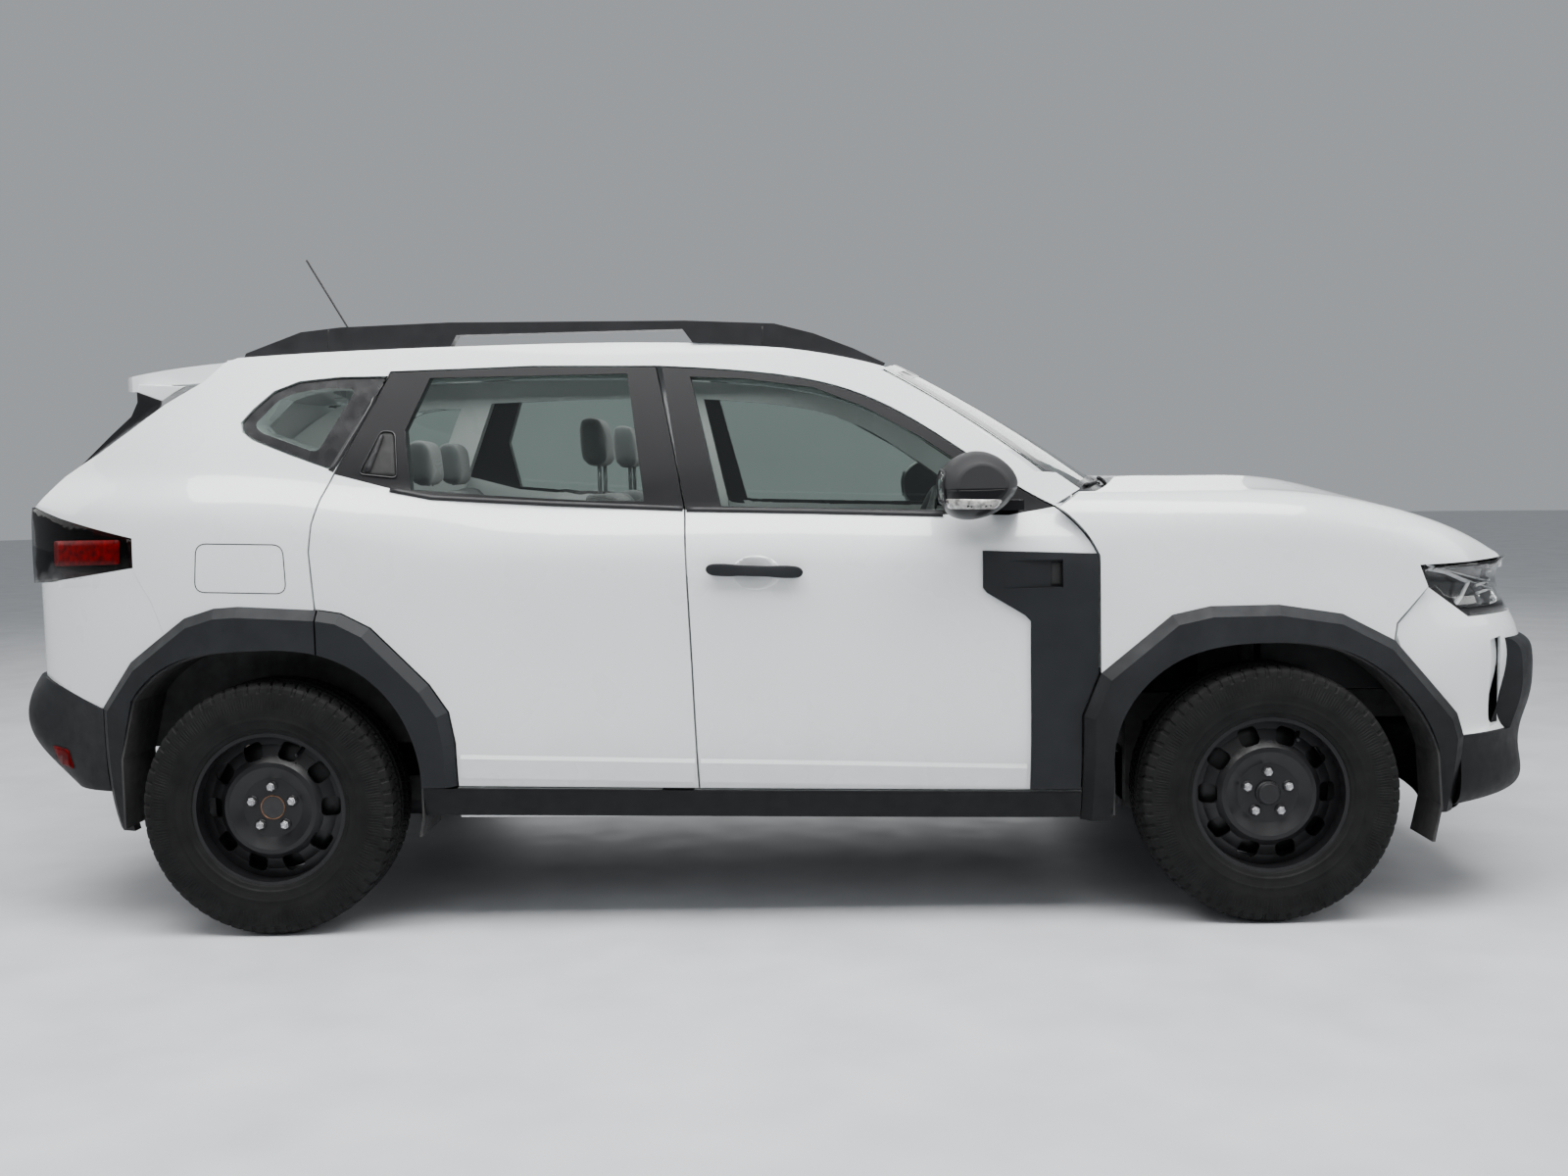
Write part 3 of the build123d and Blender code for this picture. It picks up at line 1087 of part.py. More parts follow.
with BuildPart() as floor_pan:
    block(KICK_X, BULKHEAD_X + 20, -740, 740, FLOOR_Z, FLOOR_Z + FLOOR_WALL)
    block(BULKHEAD_X, BULKHEAD_X + 20, -720, 720, FLOOR_Z, BELT_Z - 40)
    block(KICK_X, KICK_X + 20, -720, 720, FLOOR_Z, BOOT_Z + FLOOR_WALL)
    add(side_wall, mode=Mode.SUBTRACT)
    add(mirrored(side_wall), mode=Mode.SUBTRACT)
    block(REAR_PANEL_X, KICK_X + 20, SEAT - REAR_WALL_Y, REAR_WALL_Y - SEAT, BOOT_Z, BOOT_Z + FLOOR_WALL)
    block(REAR_PANEL_X, REAR_PANEL_X + 20, -540, 540, BOOT_Z - 70, BELT_Z - 386)
    for side in (-1, 1):
        rail_y = side * (RAIL_IN + 25)
        block(BULKHEAD_X, F + 640, rail_y - 25, rail_y + 25, RAIL_LOW_Z, RAIL_HIGH_Z)
        block(F - 90, F + 90, rail_y - 25, rail_y + 25, RAIL_HIGH_Z, STRUT_TOP_Z - 12)
        block(JACK_X - 35, JACK_X + 35, side * JACK_Y - 30, side * JACK_Y + 30, FLOOR_Z - JACK_PAD, FLOOR_Z)
    block(F + 600, F + 640, -560, 560, RAIL_LOW_Z, RAIL_HIGH_Z)
save(floor_pan.part, "floor_pan")

# Engine and gearbox as one plain block between the rails
with BuildPart() as engine:
    block(F - 230, F + 330, -330, 330, 330, 940)
    fillet(engine.edges().filter_by(Axis.Z), radius=60)
    block(F - 40, F + 120, -RAIL_IN, RAIL_IN, RAIL_LOW_Z + 10, RAIL_HIGH_Z - 10)
save(engine.part, "engine_block")

# Rear twist beam with trailing arms, stub axles, springs and dampers
BEAM_X = R + 120.0
STUB_BACK = WHEEL_Y - 590.0
rear_hub_plane = Plane(origin=(R, -WHEEL_Y, HUB_Z), x_dir=(1, 0, 0), z_dir=(0, -1, 0))
with BuildPart() as rear_axle:
    with BuildSketch(Plane.XZ.offset(-600)):
        with Locations((BEAM_X, HUB_Z)):
            Circle(40)
    extrude(amount=1200)
    for side in (-1, 1):
        block(R - 60, R + 420, side * 575 - 25, side * 575 + 25, HUB_Z - 35, HUB_Z + 35)
        with BuildSketch(Plane.XY.offset(HUB_Z)):
            with Locations((R + 30, side * 565)):
                Circle(48)
        extrude(amount=BOOT_Z - HUB_Z)
        block(R + 380, R + 420, side * 575 - 25, side * 575 + 25, HUB_Z, BOOT_Z)
    add(hub(rear_hub_plane, STUB_BACK))
    add(mirrored(hub(rear_hub_plane, STUB_BACK)))
save(rear_axle.part, "rear_axle")

# Exhaust and fuel tank
PIPE_Y = 180.0
PIPE_Z = 240.0
with BuildPart() as exhaust:
    block(R - 520, R - 240, -160, 320, PIPE_Z, PIPE_Z + 160)
    fillet(exhaust.edges().filter_by(Axis.Y), radius=60)
    with BuildSketch(Plane.YZ.offset(R - 300)):
        with Locations((PIPE_Y, PIPE_Z + 30)):
            Circle(22)
    extrude(amount=F - 330 - R + 300)
    for y in (-90, 250):
        with BuildSketch(Plane.XY.offset(390)):
            with Locations((R - 380, y)):
                Circle(8)
        extrude(amount=BOOT_Z - 390)
    with BuildSketch(Plane.XY.offset(PIPE_Z + 30)):
        with Locations((0, PIPE_Y)):
            Circle(8)
    extrude(amount=FLOOR_Z - PIPE_Z - 30)
save(exhaust.part, "exhaust")

with BuildPart() as fuel_tank:
    block(R + 190, R + 480, -500, 120, 240, BOOT_Z)
    fillet(fuel_tank.edges().filter_by(Axis.X).group_by(Axis.Z)[0], radius=40)
save(fuel_tank.part, "fuel_tank")

# Seats
SEAT_Y = 370.0
SEAT_WIDTH = 500.0
CUSHION_Z = 640.0
SEAT_X = B - 130.0


def side_piece(points, centre_y, width, radius):
    # Side outline pushed sideways to a width, with rounded edges
    with BuildPart() as piece:
        with BuildSketch(Plane.XZ.offset(-centre_y - width / 2)):
            with BuildLine():
                Polyline(*points, close=True)
            make_face()
        extrude(amount=width)
        fillet(piece.edges(), radius=radius)
    return piece.part


cushion = [(SEAT_X - 20, CUSHION_Z - 160), (SEAT_X + 510, CUSHION_Z - 140), (SEAT_X + 520, CUSHION_Z + 20)]
cushion += [(SEAT_X - 20, CUSHION_Z - 10)]
backrest = [(SEAT_X - 30, CUSHION_Z - 60), (SEAT_X + 90, CUSHION_Z - 60), (SEAT_X - 120, CUSHION_Z + 550)]
backrest += [(SEAT_X - 220, CUSHION_Z + 550)]
headrest = [(SEAT_X - 225, CUSHION_Z + 590), (SEAT_X - 130, CUSHION_Z + 590), (SEAT_X - 150, CUSHION_Z + 760)]
headrest += [(SEAT_X - 235, CUSHION_Z + 760)]
with BuildPart() as front_seat:
    add(side_piece(cushion, -SEAT_Y, SEAT_WIDTH, 40))
    add(side_piece(backrest, -SEAT_Y, SEAT_WIDTH - 30, 40))
    add(side_piece(headrest, -SEAT_Y, 260, 36))
    for y in (-60, 60):
        with BuildSketch(Plane.XY.offset(CUSHION_Z + 520)):
            with Locations((SEAT_X - 172, y - SEAT_Y)):
                Circle(7)
        extrude(amount=100)
    block(SEAT_X + 40, SEAT_X + 440, -SEAT_Y - 170, -SEAT_Y + 170, FLOOR_Z + FLOOR_WALL, CUSHION_Z - 130)
BENCH_Z = 690.0
bench = [(KICK_X + 22, BENCH_Z - 135), (KICK_X + 300, BENCH_Z - 150), (KICK_X + 310, BENCH_Z + 10)]
bench += [(KICK_X - 220, BENCH_Z - 20), (KICK_X - 220, BENCH_Z - 135)]
bench_back = [(KICK_X - 190, BENCH_Z - 60), (KICK_X - 70, BENCH_Z - 60), (KICK_X - 210, BENCH_Z + 520)]
bench_back += [(KICK_X - 310, BENCH_Z + 520)]
with BuildPart() as rear_bench:
    add(side_piece(bench, 0, 1240, 40))
    add(side_piece(bench_back, 0, 1240, 40))
    for y in (-400, 0, 400):
        shift = [(x + 110 - SEAT_X + KICK_X - 190, z + BENCH_Z - CUSHION_Z - 95) for x, z in headrest]
        add(side_piece(shift, y, 240, 34))
with BuildPart() as seats:
    add(front_seat.part)
    mirror(about=Plane.XZ)
    add(rear_bench.part)
save(seats.part, "seats")

# Dashboard, console and steering wheel
DASH_HALF = 655.0
dash = [(BULKHEAD_X, 780), (BULKHEAD_X, BELT_Z - 45), (F - 560, BELT_Z - 30), (F - 700, BELT_Z - 60)]
dash += [(F - 760, BELT_Z - 110), (F - 700, 800)]
WHEEL_CENTRE = (F - 850, SEAT_Y, 985)
COLUMN_TILT = 24.0
column_way = (-cos(radians(COLUMN_TILT)), 0, sin(radians(COLUMN_TILT)))
column = Plane(origin=WHEEL_CENTRE, x_dir=(0, 1, 0), z_dir=column_way)
with BuildPart() as dashboard:
    add(side_piece(dash, 0, 2 * DASH_HALF, 24))
    block(F - 1180, F - 690, -105, 105, FLOOR_Z + FLOOR_WALL, 640)
    block(F - 740, BULKHEAD_X - 40, -150, 150, FLOOR_Z + FLOOR_WALL, 860)
    with BuildSketch(column.offset(-30)):
        Circle(32)
    extrude(amount=-170)
save(dashboard.part, "dashboard")
with BuildPart() as steering_wheel:
    with BuildSketch(Plane(origin=WHEEL_CENTRE, x_dir=column.z_dir, z_dir=(0, 1, 0))):
        with Locations((0, 180)):
            Circle(15)
    revolve(axis=Axis(WHEEL_CENTRE, column.z_dir))
    with BuildSketch(column.offset(SEAT - 30)):
        Circle(75)
    extrude(amount=34)
    with BuildSketch(column.offset(-8)):
        Rectangle(350, 44)
        with Locations((0, -95)):
            Rectangle(60, 150)
    extrude(amount=12)
save(steering_wheel.part, "steering_wheel")
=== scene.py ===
# Looks of a white compact sport utility vehicle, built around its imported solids.
import math

import bmesh
import bpy
import numpy as np
from mathutils import Matrix, Vector
from mathutils.bvhtree import BVHTree


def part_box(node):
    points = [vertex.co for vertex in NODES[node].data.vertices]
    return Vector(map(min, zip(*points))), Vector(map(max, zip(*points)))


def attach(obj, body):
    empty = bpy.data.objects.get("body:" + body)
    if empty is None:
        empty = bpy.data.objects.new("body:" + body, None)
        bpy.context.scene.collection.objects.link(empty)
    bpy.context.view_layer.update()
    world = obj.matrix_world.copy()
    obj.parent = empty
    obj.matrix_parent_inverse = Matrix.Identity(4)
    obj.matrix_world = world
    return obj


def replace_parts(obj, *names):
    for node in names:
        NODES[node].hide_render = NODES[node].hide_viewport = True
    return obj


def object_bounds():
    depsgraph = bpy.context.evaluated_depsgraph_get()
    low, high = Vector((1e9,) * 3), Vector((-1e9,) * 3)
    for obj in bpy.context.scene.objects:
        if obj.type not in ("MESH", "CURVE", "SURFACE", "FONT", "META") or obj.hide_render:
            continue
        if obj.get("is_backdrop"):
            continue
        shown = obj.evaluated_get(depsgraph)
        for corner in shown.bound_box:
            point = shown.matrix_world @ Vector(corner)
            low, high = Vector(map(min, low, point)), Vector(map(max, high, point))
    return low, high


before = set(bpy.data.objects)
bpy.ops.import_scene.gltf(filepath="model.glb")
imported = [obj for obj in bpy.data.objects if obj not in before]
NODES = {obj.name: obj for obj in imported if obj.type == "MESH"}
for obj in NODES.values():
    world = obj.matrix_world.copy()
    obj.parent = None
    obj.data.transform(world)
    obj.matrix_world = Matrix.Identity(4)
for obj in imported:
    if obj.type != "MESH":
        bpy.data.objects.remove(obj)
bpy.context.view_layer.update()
SIDES = (("right", -1), ("left", 1))
ENDS = ("front", "rear")


def both(*names):
    return [f"{name}_{word}" for name in names for word, _ in SIDES]


# Material helpers
def new_material(name, colour, rough, metal=0.0, **sockets):
    mat = bpy.data.materials.new(name)
    mat.use_nodes = True
    shader = mat.node_tree.nodes["Principled BSDF"]
    shader.inputs["Base Color"].default_value = (*colour, 1)
    shader.inputs["Roughness"].default_value = rough
    shader.inputs["Metallic"].default_value = metal
    for key, value in sockets.items():
        shader.inputs[key.replace("_", " ")].default_value = value
    return mat


def shader_of(mat):
    return mat.node_tree.nodes["Principled BSDF"]


def add_node(mat, kind, values=(), **settings):
    made = mat.node_tree.nodes.new(kind)
    for key, value in settings.items():
        setattr(made, key, value)
    for key, value in values:
        made.inputs[key].default_value = value
    return made


def link(mat, out, into):
    mat.node_tree.links.new(out, into)


def feed(mat, socket, out):
    link(mat, out, shader_of(mat).inputs[socket])


def place(mat):
    return add_node(mat, "ShaderNodeTexCoord").outputs["Object"]


def noise(mat, scale, detail=3.0):
    made = add_node(mat, "ShaderNodeTexNoise", (("Scale", scale), ("Detail", detail)))
    link(mat, place(mat), made.inputs["Vector"])
    return made.outputs["Fac"]


def ramp(mat, fac, stops):
    made = add_node(mat, "ShaderNodeValToRGB")
    points = made.color_ramp.elements
    while len(points) < len(stops):
        points.new(0.5)
    for point, (position, colour) in zip(points, stops):
        point.position = position
        point.color = (*colour, 1)
    link(mat, fac, made.inputs["Fac"])
    return made.outputs["Color"]


def spread(mat, fac, low, high, start=0.3, end=0.7):
    values = (("From Min", start), ("From Max", end), ("To Min", low), ("To Max", high))
    made = add_node(mat, "ShaderNodeMapRange", values)
    link(mat, fac, made.inputs["Value"])
    return made.outputs["Result"]


def blend_colours(mat, fac, first, second):
    made = add_node(mat, "ShaderNodeMix", data_type="RGBA")
    link(mat, fac, made.inputs["Factor"])
    for socket, value in (("A", first), ("B", second)):
        target = [i for i in made.inputs if i.name == socket and i.type == "RGBA"][0]
        if isinstance(value, tuple):
            target.default_value = (*value, 1)
        else:
            link(mat, value, target)
    return [o for o in made.outputs if o.type == "RGBA"][0]


def coordinate(mat, axis):
    split = add_node(mat, "ShaderNodeSeparateXYZ")
    link(mat, place(mat), split.inputs["Vector"])
    return split.outputs[axis]


def reckoned(mat, operation, *values):
    made = add_node(mat, "ShaderNodeMath", operation=operation)
    for value, socket in zip(values, made.inputs):
        link(mat, value, socket)
    return made.outputs[0]


def bumped(mat, height, strength, distance):
    bump = add_node(mat, "ShaderNodeBump", (("Strength", strength), ("Distance", distance)))
    link(mat, height, bump.inputs["Height"])
    feed(mat, "Normal", bump.outputs["Normal"])
    return mat


def grained(mat, scale, strength, distance=0.0005, detail=2.0):
    return bumped(mat, noise(mat, scale, detail), strength, distance)


def mottled(mat, dark, light, scale, rough=None):
    feed(mat, "Base Color", ramp(mat, noise(mat, scale), [(0.3, dark), (0.7, light)]))
    if rough:
        feed(mat, "Roughness", spread(mat, noise(mat, scale * 2.3), *rough))
    return mat


def painted(name, dark, light, dust):
    # Body paint under clear coat, with faint road dust low down
    mat = new_material(name, light, 0.3, Coat_Weight=1.0, Coat_Roughness=0.03)
    base = ramp(mat, noise(mat, 1.7), [(0.3, dark), (0.7, light)])
    low = spread(mat, coordinate(mat, "Z"), 0.55, 0.0, 0.33, 0.75)
    speckle = reckoned(mat, "MULTIPLY", low, noise(mat, 9.0, 6.0))
    feed(mat, "Base Color", blend_colours(mat, speckle, base, dust))
    feed(mat, "Roughness", spread(mat, noise(mat, 5.0), 0.24, 0.36))
    return grained(mat, 260, 0.02)


def bowl_paint(name, dark, light, centre, half, depth):
    # Body paint shaded as a shallow bowl about a centre
    mat = mottled(new_material(name, light, 0.3, Coat_Weight=1.0, Coat_Roughness=0.03), dark, light, 1.7)
    spot = place(mat)
    for operation, x, z in (("SUBTRACT", *centre), ("MULTIPLY", 1 / half[0], 1 / half[1])):
        step = add_node(mat, "ShaderNodeVectorMath", ((1, (x, 0, z)),), operation=operation)
        link(mat, spot, step.inputs[0])
        spot = step.outputs[0]
    size = add_node(mat, "ShaderNodeVectorMath", operation="LENGTH")
    link(mat, spot, size.inputs[0])
    return bumped(mat, spread(mat, size.outputs["Value"], 0.0, 1.0, 0.15, 1.0), 1.0, depth)


def plastic(name, dark, light, rough, grain=800, depth=0.25, shine=0.5):
    mat = mottled(new_material(name, light, rough[0], Specular_IOR_Level=shine), dark, light, 14, rough)
    return grained(mat, grain, depth, 0.0004)


def painted_shade_below(mat, low, start, end):
    # Painted shade: the colour of a material, darker towards the ground
    full = shader_of(mat).inputs["Base Color"].links[0].from_socket
    ground = spread(mat, coordinate(mat, "Z"), low, 0.0, start, end)
    feed(mat, "Base Color", blend_colours(mat, ground, full, (0.001, 0.001, 0.001)))
    return mat


def glass(name, tint, rough=0.0, bend=1.45):
    mat = new_material(name, tint, rough, Transmission_Weight=1.0, IOR=bend)
    return mottled(mat, tuple(0.96 * c for c in tint), tint, 3)


PAINT_TONES = ((0.74, 0.765, 0.775), (0.79, 0.81, 0.815))
WHITE = painted("white_paint", *PAINT_TONES, (0.50, 0.49, 0.47))
BOWL_SPOT = (-0.055, 0.954)
BOWL_HALF = (0.066, 0.046)
BOWL_DEEP = 0.012
BOWL = bowl_paint("bowl_paint", *PAINT_TONES, BOWL_SPOT, BOWL_HALF, BOWL_DEEP)
CHARCOAL = plastic("charcoal_plastic", (0.010, 0.011, 0.0125), (0.016, 0.0175, 0.0195), (0.50, 0.64),
                   shine=0.22)
# Painted shade on the claddings and lower bumpers, darker towards the ground
painted_shade_below(CHARCOAL, 0.75, 0.36, 0.74)
BLACK = plastic("black_plastic", (0.008, 0.008, 0.009), (0.013, 0.013, 0.015), (0.38, 0.52), 1100, 0.2, 0.35)
GLOSS = plastic("gloss_black", (0.006, 0.006, 0.007), (0.011, 0.011, 0.012), (0.10, 0.20), 60, 0.01)
GLASS = glass("tinted_glass", (0.66, 0.74, 0.70))
DARK_GLASS = glass("privacy_glass", (0.40, 0.47, 0.45))
CLEAR = glass("clear_lens", (0.97, 0.98, 0.98))
SMOKED = glass("smoked_lens", (0.16, 0.15, 0.15), bend=1.16)
LIGHT_BAR = mottled(new_material("light_bar", (0.86, 0.87, 0.88), 0.12), (0.80, 0.81, 0.82), (0.9, 0.9, 0.9),
                    30)
RED_BLOCK = mottled(new_material("red_reflector", (0.08, 0.0, 0.0005), 0.35, Specular_IOR_Level=0.05),
                    (0.035, 0.0, 0.0003), (0.13, 0.0, 0.001), 60)
INDICATOR = mottled(new_material("indicator", (0.3, 0.29, 0.27), 0.12, Coat_Weight=1.0), (0.10, 0.095, 0.09),
                    (0.50, 0.49, 0.46), 70)
# Near-black for painted shadow sheets in recesses, and for dark shut lines and seams
SHADOW = plastic("shadow_gap", (0.004, 0.004, 0.004), (0.008, 0.008, 0.008), (0.6, 0.8), 300, 0.1)
FRIT = plastic("printed_border", (0.010, 0.010, 0.011), (0.016, 0.016, 0.017), (0.12, 0.2), 40, 0.01)
STEEL = plastic("wheel_steel", (0.004, 0.004, 0.0045), (0.008, 0.008, 0.009), (0.30, 0.46), 90, 0.03, 0.35)
RUBBER = plastic("tyre_rubber", (0.004, 0.004, 0.004), (0.008, 0.008, 0.0078), (0.62, 0.80), 420, 0.25, 0.18)
UNDER = plastic("underbody", (0.016, 0.016, 0.017), (0.034, 0.033, 0.032), (0.6, 0.85), 120, 0.4)
METAL = mottled(new_material("bare_metal", (0.5, 0.5, 0.5), 0.4, 1.0), (0.36, 0.36, 0.37), (0.56, 0.56, 0.57),
                25, (0.3, 0.55))
RUST = mottled(new_material("rusty_hub", (0.2, 0.09, 0.04), 0.8, 0.3), (0.10, 0.045, 0.02),
               (0.30, 0.15, 0.08), 60, (0.7, 0.9))
CABIN = plastic("cabin_plastic", (0.030, 0.031, 0.033), (0.048, 0.050, 0.053), (0.55, 0.7), 600, 0.35)
PIPE = mottled(new_material("exhaust_steel", (0.4, 0.36, 0.33), 0.45, 0.9), (0.20, 0.15, 0.12),
               (0.46, 0.44, 0.42), 18, (0.35, 0.7))
CHROME = mottled(new_material("reflector", (0.85, 0.86, 0.87), 0.08, 1.0), (0.8, 0.81, 0.82),
                 (0.9, 0.9, 0.91), 20)
MIRROR = mottled(new_material("mirror_glass", (0.9, 0.9, 0.9), 0.02, 1.0), (0.86, 0.87, 0.88),
                 (0.9, 0.91, 0.92), 4)


def woven(name, dark, light):
    # Seat cloth: fine crossed threads in two greys
    mat = new_material(name, light, 0.9)
    threads = []
    for axis in ("X", "Z"):
        wave = add_node(mat, "ShaderNodeTexWave", (("Scale", 220), ("Distortion", 0.6)), wave_type="BANDS",
                        bands_direction=axis)
        link(mat, place(mat), wave.inputs["Vector"])
        threads.append(wave.outputs["Fac"])
    weave = reckoned(mat, "MULTIPLY", *threads)
    feed(mat, "Base Color", ramp(mat, weave, [(0.1, dark), (0.7, light)]))
    shader_of(mat).inputs["Sheen Weight"].default_value = 0.3
    return bumped(mat, weave, 0.4, 0.001)


CLOTH = woven("seat_fabric", (0.035, 0.037, 0.040), (0.085, 0.088, 0.092))

# Heights and widths where the black door trim changes its finish
CLADDING_TOP = 1.05
MIRROR_INNER = 0.895
MIRROR_PARTING = 1.164


def door_trim(name, cladding, frame_black, cap):
    # Charcoal claddings below the belt, gloss black frames above it, matt grey caps on the mirrors
    mat = new_material(name, cladding, 0.5, Specular_IOR_Level=0.22)
    above = spread(mat, coordinate(mat, "Z"), 0.0, 1.0, CLADDING_TOP - 0.002, CLADDING_TOP + 0.002)
    base = ramp(mat, noise(mat, 14), [(0.3, tuple(0.8 * c for c in cladding)), (0.7, cladding)])
    across = reckoned(mat, "ABSOLUTE", coordinate(mat, "Y"))
    outer = spread(mat, across, 0.0, 1.0, MIRROR_INNER - 0.001, MIRROR_INNER + 0.001)
    upper = spread(mat, coordinate(mat, "Z"), 0.0, 1.0, MIRROR_PARTING - 0.0008, MIRROR_PARTING + 0.0008)
    on_cap = reckoned(mat, "MULTIPLY", outer, upper)
    colour = blend_colours(mat, above, base, frame_black)
    feed(mat, "Base Color", blend_colours(mat, on_cap, colour, cap))
    frame_rough = spread(mat, above, 0.55, 0.32, 0.0, 1.0)
    lift = spread(mat, on_cap, 0.0, 0.26, 0.0, 1.0)
    feed(mat, "Roughness", reckoned(mat, "ADD", frame_rough, lift))
    return grained(mat, 900, 0.12, 0.0003)


FRAME_TRIM = door_trim("door_trim", (0.014, 0.0155, 0.0175), (0.005, 0.005, 0.006), (0.028, 0.028, 0.029))

NODE_MATERIALS = {
    WHITE: both("body_side", "front_door", "rear_door") + ["roof_panel", "front_wings", "front_bumper",
                                                           "rear_bumper", "bonnet", "tailgate"],
    CHARCOAL: ["side_claddings", "front_bumper_lower", "rear_bumper_lower"],
    BLACK: ["cowl", "roof_rails", "antenna", "grille", "fuel_tank", "headlamps", "tail_lamps"],
    GLASS: both("front_door_glass", "rear_door_glass") + ["windscreen", "quarter_glass"],
    DARK_GLASS: ["tailgate_glass"],
    FRAME_TRIM: both("front_door_trim", "rear_door_trim"),
    STEEL: both("front_rim", "rear_rim"),
    RUBBER: both("front_tyre", "rear_tyre"),
    UNDER: ["floor_pan", "wheel_liners", "rear_axle", "front_suspension", "engine_block"],
    METAL: both("knuckle"),
    PIPE: ["exhaust"],
    CABIN: ["dashboard", "steering_wheel"],
    CLOTH: ["seats"],
}
for mat, names in NODE_MATERIALS.items():
    for name in names:
        NODES[name].data.materials.clear()
        NODES[name].data.materials.append(mat)


# Geometry helpers
def surface(*names):
    # Search tree over the shapes of some nodes at rest
    points = []
    faces = []
    for name in names:
        start = len(points)
        points += [v.co.copy() for v in NODES[name].data.vertices]
        faces += [[start + i for i in p.vertices] for p in NODES[name].data.polygons]
    return BVHTree.FromPolygons(points, faces)


def cast(tree, start, way):
    spot, normal, _, _ = tree.ray_cast(Vector(start), Vector(way).normalized())
    if spot is None:
        spot, normal, _, _ = tree.find_nearest(Vector(start))
    if normal.dot(Vector(way)) > 0:
        normal = -normal
    return spot, normal


def placed(name, data):
    made = bpy.data.objects.new(name, data)
    bpy.context.scene.collection.objects.link(made)
    return made


def linked(name, mesh, material, body, smooth):
    made = placed(name, mesh)
    mesh.materials.append(material)
    mesh.polygons.foreach_set("use_smooth", [smooth] * len(mesh.polygons))
    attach(made, body)
    return made


def mesh_piece(name, points, faces, material, body, smooth=True):
    mesh = bpy.data.meshes.new(name)
    mesh.from_pydata([tuple(p) for p in points], [], faces)
    mesh.update()
    return linked(name, mesh, material, body, smooth)


def bmesh_piece(name, shape, material, body, smooth=True):
    mesh = bpy.data.meshes.new(name)
    bmesh.ops.recalc_face_normals(shape, faces=shape.faces)
    shape.to_mesh(mesh)
    shape.free()
    return linked(name, mesh, material, body, smooth)


def band_faces(count, width):
    # Faces of a closed band with a given number of points across it
    faces = []
    for i in range(count):
        j = (i + 1) % count
        for k in range(width - 1):
            faces.append((i * width + k, j * width + k, j * width + k + 1, i * width + k + 1))
    return faces


def centre_of(node):
    low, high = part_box(node)
    return (low + high) / 2


def joined(name, made, material, body):
    # Many small pieces as one mesh
    shape = bmesh.new()
    for piece in made:
        shape.from_mesh(piece.data)
        bpy.data.objects.remove(piece)
    return bmesh_piece(name, shape, material, body)


def rounded(piece, width, steps=2):
    # Soft edges and even shading
    bevel = piece.modifiers.new("soft_edges", "BEVEL")
    bevel.width = width
    bevel.segments = steps
    bevel.limit_method = "ANGLE"
    piece.modifiers.new("even_shading", "WEIGHTED_NORMAL")
    return piece


def prism(shape, near, far):
    # Faces of a block between two rings of corners
    shape.faces.new(near)
    shape.faces.new(far[::-1])
    for i in range(len(near)):
        j = (i + 1) % len(near)
        shape.faces.new((near[i], near[j], far[j], far[i]))


def thickened(piece, facing, thick):
    # A sheet turned to face one way, with its thickness behind it
    total = sum((p.normal * p.area for p in piece.data.polygons), Vector())
    if total.dot(facing) < 0:
        piece.data.flip_normals()
    solid = piece.modifiers.new("thickness", "SOLIDIFY")
    solid.thickness = thick
    solid.offset = -1
    return piece


# Tyres with tread blocks, shoulder lugs and sidewall ridges
TYRE_ROUND = 640
TYRE_PITCHES = 64
TREAD_HALF = 0.090
TREAD_DEPTH = 0.0085
BEAD_RADIUS = 0.2045
# Half profile from the bead out over the sidewall: share of the half width, height above the bead
FLANK = [(0.80, 0.0), (0.87, 0.004), (0.90, 0.012), (0.935, 0.016), (0.945, 0.024), (0.975, 0.036),
         (0.99, 0.040), (0.985, 0.048), (1.0, 0.064), (0.995, 0.078), (0.975, 0.094)]
# On to the crown: share of the half width, depth below the crown
SHOULDER = [(0.955, 0.030), (0.95, 0.026), (0.92, 0.016), (0.87, 0.009), (0.83, 0.0065)]


def tread_drop(across, turn):
    # Depth of the tread at a place: ring grooves, slanted cross grooves and fine cuts
    pitch = turn * TYRE_PITCHES / (2 * np.pi)
    grooves = np.zeros_like(turn)
    for centre, width in ((0.022, 0.0085), (0.056, 0.0095)):
        grooves = np.maximum(grooves, (np.abs(np.abs(across) - centre) < width / 2) * 1.0)
    slant = (pitch + 9.0 * np.abs(across) + 0.5 * (across > 0)) % 1.0
    shoulder = (np.abs(across) > 0.058) & (slant < 0.22)
    middle = (np.abs(across) > 0.026) & (np.abs(across) < 0.052) & (((2 * slant) % 1.0) < 0.16)
    centre_cut = (np.abs(across) < 0.018) & (((2 * pitch + 14 * across) % 1.0) < 0.12)
    return np.maximum.reduce([grooves, shoulder * 0.85, middle * 0.7, centre_cut * 0.5]) * TREAD_DEPTH


